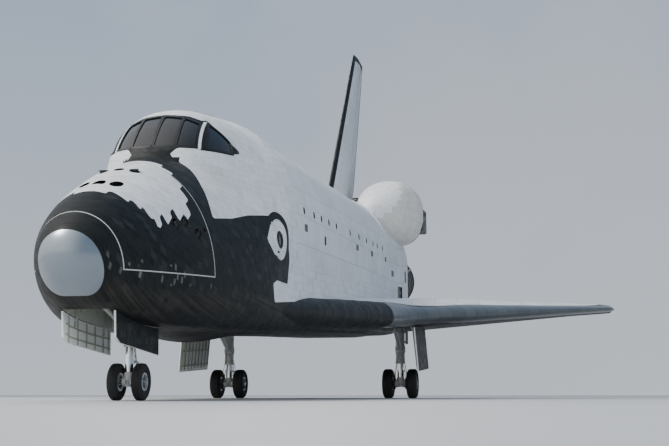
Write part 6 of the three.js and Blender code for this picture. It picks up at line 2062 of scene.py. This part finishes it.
# main gear
for side, s in (("left", 1), ("right", -1)):
    J = f"main_wheel_spin_{side}"
    y0 = JOINTS[J]["pos_m"][1] / IN
    roof = float(local(J, [[1172, y0, 308]])[0, 2]) - 0.1
    k = Kit(at(J))
    k.lathe((0, 0, 0), (0, 0, 1), [(30, 4.7), (30, 7.6), (34, 7.6), (34.4, 7.0), (47, 7.0), (47.6, 8.0), (56, 8.0), (56.6, 7.0), (88, 7.0), (89, 8.2), (106, 8.2), (107, 7.0), (roof, 7.0), (roof, 4.7)], 64, 0)
    k.lathe((0, 0, 0), (0, 0, 1), [(9, 0), (9, 4.62), (31, 4.62), (31, 0)], 56, 1)
    k.lathe((0, 0, 0), (0, 0, 1), [(-5, 0), (-5, 5.0), (-4, 6.0), (7.5, 6.0), (9.5, 5.2), (9.5, 0)], 56, 0)
    k.cyl((0, -8.0, 0), (0, -3.0, 0), 5.4, 5.8, 44, 0, 0.2)
    k.cyl((0, 3.0, 0), (0, 8.0, 0), 5.8, 5.4, 44, 0, 0.2)
    for z in (36, 46, 58, 68, 78, 87):
        k.torus((0, 0, z), (0, 0, 1), 7.05, 0.26, 64, 8, 2)
    inner, outer = (106 - abs(y0)) * s, (170 - abs(y0)) * s
    k.cyl((0, inner + s * 0.4, 98), (0, outer - s * 0.4, 98), 5.0, 5.0, 44, 0, 0.4)
    for yy in (inner + s * 3, outer - s * 3):
        k.cyl((0, yy - 2.5, 98), (0, yy + 2.5, 98), 6.6, 6.6, 44, 0, 0.6)
        k.box((-7, yy - 2.2, 98), (7, yy + 2.2, roof), 0, 0.8)
    # drag brace in two halves, lock link and actuator
    end = local(J, [[1064, y0, 306]])[0]
    st = np.array([5.5, 0, 52.0])
    mid = st + (end - st) * 0.50
    k.tube([st, (st + mid) / 2, mid], 3.1, 32, 0)
    k.tube([mid, (end + mid) / 2, end - (end - st) / np.linalg.norm(end - st) * 3.4], 2.7, 32, 0)
    for c, r in ((st, 3.9), (mid, 3.8)):
        k.ball(c, r, 28, 0)
        k.cyl(c - [0, r + 1.4, 0], c + [0, r + 1.4, 0], 2.0, 2.0, 28, 2, 0.3)
    k.cyl((end[0], inner + s * 1, end[2]), (end[0], outer - s * 1, end[2]), 3.0, 3.0, 32, 0, 0.3)
    k.box((end[0] - 5, -7, end[2] - 4.5), (end[0] + 5, 7, end[2] + 2), 0, 0.9)
    lock = np.array([8.5, 0, 84.0])
    k.tube([mid + [0, 2.2, 0], (mid + lock) / 2 + [0, 2.2, 0], lock + [0, 2.2, 0]], 1.1, 18, 0)
    k.tube([mid - [0, 2.2, 0], (mid + lock) / 2 - [0, 2.2, 0], lock - [0, 2.2, 0]], 1.1, 18, 0)
    k.cyl(lock - [0, 4, 0], lock + [0, 4, 0], 1.5, 1.5, 24, 2, 0.2)
    act = np.array([26, s * -9.0, roof - 6])
    k.cyl(act, lock + [0, s * -5.0, 0], 1.9, 1.9, 28, 0, 0.3)
    # scissors links behind the leg
    torque_link(k, -8.6, 35.5, -19.5, 20.0, 3.2, 1.6, 0)
    torque_link(k, -7.2, 3.0, -19.5, 19.4, 3.8, 2.7, 0)
    k.cyl((-8.6, 0, 35.5), (-4, 0, 35.5), 2.6, 3.2, 24, 0)
    k.cyl((-7.2, 0, 3.0), (-3, 0, 3.0), 2.8, 3.4, 24, 0)
    k.cyl((-19.5, -4.6, 19.7), (-19.5, 4.6, 19.7), 0.8, 0.8, 18, 2)
    # brakes: stacked plates and a piston housing inboard of each wheel
    for t in (1, -1):
        k.lathe((0, t * 8.0, 0), (0, t, 0), [(0, 3.35), (0, 8.4), (0.7, 9.2), (1.6, 9.2), (1.9, 8.6), (1.9, 3.35)], 56, 3)
        for i in range(10):
            a = i * math.pi / 5
            c = np.array([6.7 * math.cos(a), t * 8.0, 6.7 * math.sin(a)])
            k.cyl(c - [0, t * 1.1, 0], c + [0, t * 0.2, 0], 1.15, 1.15, 18, 2, 0.15)
    # hoses and pipes
    for t, col in ((1, 4), (-1, 4)):
        k.tube(curve([(-2, t * 7.8, 5), (-6, t * 8.6, 14), (-9, t * 6.4, 28), (-8.4, t * 3.4, 42), (-8.0, t * 2.4, 60), (-8.0, t * 2.4, 84), (-10, t * 4.0, roof - 4)], 40), 0.5, 12, col)
        k.tube(curve([(3, t * 7.6, 6), (7, t * 8.0, 16), (8, t * 5.0, 30), (7.8, t * 3.2, 42), (8.0, t * 3.0, 48)], 24), 0.38, 10, 5)
    for z in (42, 60, 72, 84):
        k.box((-9.0, -3.4, z - 0.6), (-6.4, 3.4, z + 0.6), 2, 0.15)
    k.cyl((-4.5, s * 9.6, 60), (-4.5, s * 9.6, 82), 2.2, 2.2, 28, 0, 0.5)
    k.box((-6.0, s * 6.4, 62), (-3.0, s * 8.4, 65), 2, 0.2)
    k.box((-6.0, s * 6.4, 77), (-3.0, s * 8.4, 80), 2, 0.2)
    k.box((4.8, -1.8, -4.2), (8.2, 1.8, 1.8), 0, 0.5)
    k.torus((8.6, 0, -1.2), (0, 1, 0), 1.8, 0.55, 28, 10, 2)
    k.object(f"main_gear_leg_{side}_assembly", [GEAR, CHROME, STEEL, DARK, HOSE, COPPER], "airframe", "gear_paint", [f"main_gear_leg_{side}"])
    wheels(f"main_wheel_hubs_{side}_pair", J, f"main_wheels_{side}", (18.5, -18.5), 10.7, 6.4, 3.0, 26.3, [f"main_wheel_hubs_{side}"], 9, 1.15, 7.3)
    tyre(f"main_tyre_outer_{side}_ribbed", J, f"main_wheels_{side}", s * 18.5, 22.25, 16, 11, [f"main_tyre_outer_{side}"])
    tyre(f"main_tyre_inner_{side}_ribbed", J, f"main_wheels_{side}", -s * 18.5, 22.25, 16, 11, [f"main_tyre_inner_{side}"])

# ------------------------------------------------------------------ gear doors and wells
for side, s in (("left", 1), ("right", -1)):
    # nose door: tiled outer face, ribbed inner face
    xs = np.concatenate([[290], np.arange(294, 390, 4.0), [390]])
    top = [(x, body_rows([x])[0, 0] - 0.6) for x in xs]
    out = top + [(390, 260), (300, 272), (291, 277)]
    ya, yb = s * 21.2, s * 22.8
    o = prism(out, "y", min(ya, yb), max(ya, yb), 1)
    remap(o, lambda c, n, i: np.where(n[:, 1] * s > 0.9, 0, 1))
    by_angle(o, 30)
    p = WI(co_of(o.data))
    attr(o, "tile", np.stack([p[:, 0], p[:, 2], np.zeros(len(p))], 1))
    # third paint number 0.12: a weak painted glint on the door's black tiles
    attr(o, "paint", np.stack([np.full(len(p), -20.0), np.ones(len(p)), np.full(len(p), 0.12)], 1))
    set_mats(o, SKIN, WHITE_PAINT)
    finish(o, f"nose_gear_door_{side}_skin", "airframe", [f"nose_gear_door_{side}"])
    k = Kit()
    w = -s * 0.9
    for x in (300, 318, 336, 354, 372, 384):
        zt, zb = float(body_rows([x])[0, 0]) - 1.4, np.interp(x, [291, 300, 390], [277.6, 272.6, 260.6])
        k.box((x - 0.7, ya, zb), (x + 0.7, ya + w, zt), 0, 0.2)
    for f in (0.22, 0.62):
        pts = []
        for x in np.linspace(295, 387, 12):
            zt, zb = float(body_rows([x])[0, 0]) - 1.4, np.interp(x, [291, 300, 390], [277.6, 272.6, 260.6])
            pts.append((x, zb + (zt - zb) * f))
        k.prism([(x, z - 0.6) for x, z in pts] + [(x, z + 0.6) for x, z in pts[::-1]], "y", min(ya, ya + w), max(ya, ya + w), 0)
    for x in (312, 372):
        zt = float(body_rows([x])[0, 0]) - 3
        k.tube(curve([(x, ya - s * 0.5, zt - 3), (x, ya - s * 2.2, zt + 3), (x + 0.5, ya - s * 1.6, zt + 12)], 14), 0.7, 12, 1)
        k.box((x - 1.2, ya - s * 1.4, zt - 5), (x + 1.2, ya, zt - 1), 0, 0.3)
    k.object(f"nose_gear_door_{side}_frame", [PRIMER, STEEL], "airframe")

    # main door
    rows = []
    for x in np.concatenate([[1047, 1047.5], np.linspace(1053, 1183, 12), [1188.5, 1189]]):
        e = 0.4 if x < 1047.2 or x > 1188.8 else 0.0
        zt = float(wing_low(x, 171)) - 0.8 - e
        rows.append([(x, s * (171.2 + e), zt), (x, s * (173.2 - e), zt), (x, s * (178.2 - e), zt - 62 + 2 * e), (x, s * (176.2 + e), zt - 62 + 2 * e)])
    o = solid(*loft(np.array(rows)), 1)
    remap(o, lambda c, n, i: np.where(n[:, 1] * s > 0.9, 0, 1))
    by_angle(o, 30)
    p = WI(co_of(o.data))
    attr(o, "tile", np.stack([p[:, 0], p[:, 2], np.zeros(len(p))], 1))
    attr(o, "paint", np.stack([np.full(len(p), -20.0), np.ones(len(p)), np.full(len(p), -0.5)], 1))
    set_mats(o, SKIN, WHITE_PAINT)
    finish(o, f"main_gear_door_{side}_skin", "airframe", [f"main_gear_door_{side}"])
    k = Kit()
    zt = float(wing_low(1118, 171)) - 2.0
    tilt = lambda z: 171.2 + (zt - z) * 5 / 62 * 1.0
    for x in np.linspace(1052, 1184, 9):
        v = []
        for xx in (x - 0.8, x + 0.8):
            v += [(xx, s * (tilt(zt - 2) - 0.0), zt - 2), (xx, s * (tilt(zt - 2) - 2.2), zt - 2), (xx, s * (tilt(zt - 57) - 1.2), zt - 57), (xx, s * tilt(zt - 57), zt - 57)]
        k.add(v, [(0, 1, 2, 3), (7, 6, 5, 4), (0, 4, 5, 1), (1, 5, 6, 2), (2, 6, 7, 3), (3, 7, 4, 0)], 0)
    for d_ in (8, 30, 52):
        z = zt - d_
        k.box((1052, s * (tilt(z) - 1.9), z - 0.9), (1184, s * tilt(z), z + 0.9), 0, 0.2)
    for x in (1070, 1166):
        k.tube(curve([(x, s * (tilt(zt - 12) - 1), zt - 12), (x, s * 166, zt + 4), (x, s * 163, zt + 16)], 16), 1.2, 16, 1)
        k.ball((x, s * (tilt(zt - 12) - 1.2), zt - 12), 2.0, 18, 0)
    k.object(f"main_gear_door_{side}_frame", [PRIMER, STEEL], "airframe")

    # main well structure
    k = Kit()
    x0, x1, ya, yb, zr = WELL_BOX
    for x in np.arange(x0 + 9, x1 - 4, 16.5):
        if abs(x - 1172) < 12:
            continue
        k.box((x - 0.8, s * (ya + 0.2), zr - 5.0), (x + 0.8, s * (yb - 0.2), zr - 0.1), 0, 0.25)
        k.box((x - 2.2, s * (ya + 0.2), zr - 5.4), (x + 2.2, s * (yb - 0.2), zr - 4.9), 0, 0.15)
    for y in (118, 158):
        k.box((x0 + 0.2, s * (y - 0.7), zr - 3.6), (1156, s * (y + 0.7), zr - 0.1), 0, 0.2)
    for i, y in enumerate((111, 113.2, 115.4, 163, 165.2)):
        k.tube(curve([(x0 + 1, s * y, zr - 7 - i * 0.4), (1090, s * y, zr - 7.2), (1140, s * y, zr - 7), (x1 - 1.5, s * y, zr - 8 - i * 0.3)], 24), 0.42, 10, 1 if i % 2 else 2)
    for x, y, w, h, d_ in ((1090, 109, 20, 8, 7), (1128, 109, 14, 10, 6), (1100, 166, 24, 9, 6)):
        k.box((x - w / 2, s * (y - 2.6), zr - 12 - h), (x + w / 2, s * (y + 2.6), zr - 12), 3, 0.7)
    k.cyl((1060, s * 166, 290), (1120, s * 166, 290), 2.4, 2.4, 28, 3, 0.6)
    k.object(f"main_gear_well_{side}_structure", [PRIMER, COPPER, STEEL, PANEL], "airframe")

k = Kit()
for x in np.arange(297, 390, 13.0):
    k.box((x - 0.7, -20.8, 323.4), (x + 0.7, 20.8, 327.9), 0, 0.2)
    k.box((x - 1.9, -20.8, 323.0), (x + 1.9, 20.8, 323.5), 0, 0.12)
    for s in (1, -1):
        k.box((x - 0.6, s * 18.6, 296), (x + 0.6, s * 20.9, 323), 0, 0.2)
for s in (1, -1):
    k.tube(curve([(291, s * 17.5, 316), (330, s * 17.8, 315), (388, s * 17.5, 317)], 16), 0.5, 10, 1)
    k.tube(curve([(291, s * 16.0, 319), (330, s * 16.2, 318), (388, s * 16.0, 319)], 16), 0.35, 10, 2)
    k.box((340, s * 16.0, 304), (360, s * 20.6, 312), 3, 0.6)
k.object("nose_gear_well_structure", [PRIMER, COPPER, STEEL, PANEL], "airframe")

# ------------------------------------------------------------------ flight deck
deck = box_cut(441, 561.5, -95, 95, 412, 415, 0)
inner = solid(*loft(skin_grid(np.arange(430, 567, 4.0), 48, -7.05)), 0)
cut(deck, inner, "INTERSECT")
by_angle(deck, 30)
set_mats(deck, PANEL)
finish(deck, "flight_deck_floor", "airframe", ["flight_deck"])
k = Kit()
k.prism(rounded([(462, 415), (476, 415), (476, 440), (470, 446), (463, 441)], 1.2, 4), "y", -44, 44, 0)
k.prism(rounded([(460.5, 441.5), (478, 446.5), (478, 448), (461, 443.5)], 0.6, 4), "y", -44, 44, 1)
for y in (-36, -27.5, -19, -9, 0, 9, 19, 27.5, 36):
    k.box((475.6, y - 3.6, 431), (476.5, y + 3.6, 438.6), 1, 0.5)
    k.box((476.3, y - 3.0, 431.7), (476.7, y + 3.0, 437.9), 2, 0.2)
for y in np.arange(-40, 41, 5.0):
    for z in (419, 423, 427):
        k.cyl((475.8, y, z), (477.0, y, z), 0.55, 0.45, 10, 3)
k.box((471, -7.6, 415), (507, 7.6, 431), 0, 1.0)
for x in np.arange(478, 505, 4.0):
    for y in (-5, -1.7, 1.7, 5):
        k.cyl((x, y, 430.9), (x, y, 432.1), 0.5, 0.4, 10, 3)
for s in (1, -1):
    k.box((484, s * 46, 415), (540, s * 56, 430), 0, 1.2)
    for x in np.arange(488, 538, 4.5):
        k.cyl((x, s * 49, 430), (x, s * 49, 431), 0.5, 0.4, 10, 3)
        k.cyl((x, s * 53, 430), (x, s * 53, 431), 0.5, 0.4, 10, 3)
    k.cyl((496, s * 22, 415.2), (498, s * 22, 433), 0.8, 0.6, 16, 1)
    k.ball((498.2, s * 22, 434), 1.3, 16, 1)
k.object("flight_deck_consoles", [PANEL, DARK, SCREEN, STEEL], "airframe", "cabin_interior")

k = Kit()
for i, y in enumerate(np.linspace(-62, 62, 6)):                # rear lockers and lower deck racks
    k.box((559, y - 9.5, 420), (564.5, y + 9.5, 470 if abs(y) < 40 else 452), 0, 0.8)
    k.box((558.3, y - 8.2, 424), (559.2, y + 8.2, 444), 1, 0.3)
    k.box((558.3, y - 8.2, 447), (559.2, y + 8.2, 451.5), 1, 0.3)
    k.box((557.7, y - 2, 433), (558.4, y + 2, 434), 3, 0.1)
for x in (420, 436, 452):
    for y in (-44, -22, 0, 22, 44):
        k.box((x, y - 9, 312), (x + 13, y + 9, 372), 0, 1.0)
        k.box((x + 12.9, y - 7.5, 318), (x + 13.6, y + 7.5, 364), 1, 0.4)
k.object("cabin_lockers", [PANEL, WHITE_PAINT, SCREEN, STEEL], "airframe", "cabin_interior")

for side, s in (("left", 1), ("right", -1)):
    yc = s * 22.0
    k = Kit()
    k.prism(rounded([(504, 428.6), (528, 428.0), (529.5, 432.2), (505, 433.8)], 1.4, 6), "y", yc - 8.4, yc + 8.4, 0)
    k.prism(rounded([(525.5, 432.8), (529.6, 432.4), (533.6, 461.5), (530.2, 462.2)], 1.3, 6), "y", yc - 8.2, yc + 8.2, 0)
    k.prism(rounded([(530.4, 462.6), (533.2, 462.4), (533.9, 468), (531.2, 468)], 0.9, 5), "y", yc - 4.5, yc + 4.5, 0)
    for t in (-5.6, 5.6):
        k.prism(rounded([(505, 433.9), (528, 432.3), (532.2, 461.8), (531.8, 461.9), (527.7, 432.8), (505, 434.3)], 0.1, 3), "y", yc + t - 0.9, yc + t + 0.9, 2)
    k.box((512, yc - 8.8, 415.1), (519.5, yc + 8.8, 418), 1, 0.5)
    k.prism([(513, 418), (518.5, 418), (524, 428), (510, 428)], "y", yc - 8.0, yc - 7.0, 1)
    k.prism([(513, 418), (518.5, 418), (524, 428), (510, 428)], "y", yc + 7.0, yc + 8.0, 1)
    k.prism(rounded([(529.8, 432.5), (531.2, 432.3), (535.0, 461.0), (533.7, 461.4)], 0.3, 3), "y", yc - 7.4, yc + 7.4, 1)
    k.box((508, yc - 9.0, 437), (522, yc - 7.2, 438.4), 1, 0.4)
    k.box((508, yc + 7.2, 437), (522, yc + 9.0, 438.4), 1, 0.4)
    for t in (-8.1, 8.1):
        k.cyl((520, yc + t, 430), (521, yc + t, 437.4), 0.6, 0.6, 12, 1)
    k.object(f"crew_seat_{side}_cushions", [SEAT, GEAR, STRAP], "airframe", "seat_cover", [f"crew_seat_{side}"], bevel=0.0)

# ------------------------------------------------------------------ floor, light and camera
floor_mat = Nodes("floor_grey")
fp = floor_mat.place()
fn1, fn2 = floor_mat.noise(fp, 0.08, 5, 0.6), floor_mat.noise(fp, 3.0, 4)
floor_mat.set("Base Color", floor_mat.mix(fn1 * 0.7 + fn2 * 0.15, (0.40, 0.41, 0.42), (0.52, 0.53, 0.54)))
floor_mat.set("Roughness", fn2 * 0.12 + 0.52)
floor_mat.bump(fn2 * 0.002, 0.5)
floor = add_object("floor", new_mesh("floor", [(-400, -400, 0), (400, -400, 0), (400, 400, 0), (-400, 400, 0)], [(0, 1, 2, 3)]))
floor.data.materials.append(floor_mat.mat)
floor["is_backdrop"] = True

world = bpy.data.worlds.new("sky")
bpy.context.scene.world = world
world.use_nodes = True
wt = world.node_tree
wt.nodes.clear()


def wnode(kind, inputs=(), **props):
    n = wt.nodes.new(kind)
    for k, v in props.items():
        setattr(n, k, v)
    for slot, v in inputs:
        if isinstance(v, bpy.types.NodeSocket):
            wt.links.new(v, n.inputs[slot])
        else:
            n.inputs[slot].default_value = v
    return n


way = wnode("ShaderNodeTexCoord").outputs["Generated"]
height = wnode("ShaderNodeSeparateXYZ", [(0, way)]).outputs["Z"]
ramp = wnode("ShaderNodeValToRGB", [(0, height)])
ramp.color_ramp.elements[0].position, ramp.color_ramp.elements[0].color = 0.0, (0.62, 0.67, 0.73, 1)
ramp.color_ramp.elements[1].position, ramp.color_ramp.elements[1].color = 0.7, (0.20, 0.33, 0.56, 1)
toward = wnode("ShaderNodeVectorMath", [(0, way), (1, (0.62, -0.60, 0.50))], operation="DOT_PRODUCT").outputs["Value"]
glow = wnode("ShaderNodeMapRange", [(0, toward), (1, -0.1), (2, 0.98)], interpolation_type="SMOOTHSTEP").outputs[0]
veil = wnode("ShaderNodeTexNoise", [("Vector", way), ("Scale", 2.6), ("Detail", 5.0), ("Roughness", 0.55)]).outputs[0]
cloud = wnode("ShaderNodeMapRange", [(0, veil), (1, 0.46), (2, 0.66), (3, 0.0), (4, 0.35)], interpolation_type="SMOOTHSTEP").outputs[0]
sky1 = wnode("ShaderNodeMix", [(0, cloud), (6, ramp.outputs[0]), (7, (0.72, 0.74, 0.78, 1))], data_type="RGBA").outputs[2]
sky2 = wnode("ShaderNodeMix", [(0, glow), (6, sky1), (7, (1.55, 1.52, 1.46, 1))], data_type="RGBA").outputs[2]
side = wnode("ShaderNodeVectorMath", [(0, way), (1, (0.25, 0.93, 0.20))], operation="DOT_PRODUCT").outputs["Value"]
dusk = wnode("ShaderNodeMapRange", [(0, side), (1, -0.1), (2, 0.8), (3, 0.0), (4, 0.8)], interpolation_type="SMOOTHSTEP").outputs[0]
sky3 = wnode("ShaderNodeMix", [(0, dusk), (6, sky2), (7, (0.17, 0.25, 0.37, 1))], data_type="RGBA").outputs[2]
bg = wnode("ShaderNodeBackground", [(0, sky3), (1, 1.0)])
wnode("ShaderNodeOutputWorld", [(0, bg.outputs[0])])


def area(name, place, target, size, power, color=(1, 1, 1)):
    l = bpy.data.lights.new(name, "AREA")
    l.shape, l.size, l.size_y, l.energy, l.color = "RECTANGLE", size[0], size[1], power, color
    o = bpy.data.objects.new(name, l)
    bpy.context.scene.collection.objects.link(o)
    o.location = place
    o.rotation_euler = (Vector(target) - Vector(place)).to_track_quat("-Z", "Y").to_euler()
    return o


area("key_light", (34, -30, 44), (0, 0, 5), (16, 16), 28000, (1.0, 0.97, 0.92))
area("fill_light", (36, 40, 18), (0, 0, 6), (34, 24), 12600, (0.90, 0.95, 1.0)).visible_glossy = False
area("rear_light", (-42, -14, 34), (0, 0, 6), (26, 18), 8000, (1.0, 0.98, 0.95))

cam_data = bpy.data.cameras.new("camera")
cam = bpy.data.objects.new("camera", cam_data)
bpy.context.scene.collection.objects.link(cam)
cam_data.sensor_width = 36
cam_data.lens = 60
cam_data.clip_end = 500
cam.location = (37.9, 8.9, 0.12)
cam.rotation_euler = (Vector((-2.1, 1.5, 6.4)) - cam.location).to_track_quat("-Z", "Y").to_euler()
bpy.context.scene.camera = cam

for m in SPARE:
    if m.users == 0:
        bpy.data.materials.remove(m)
lo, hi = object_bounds()
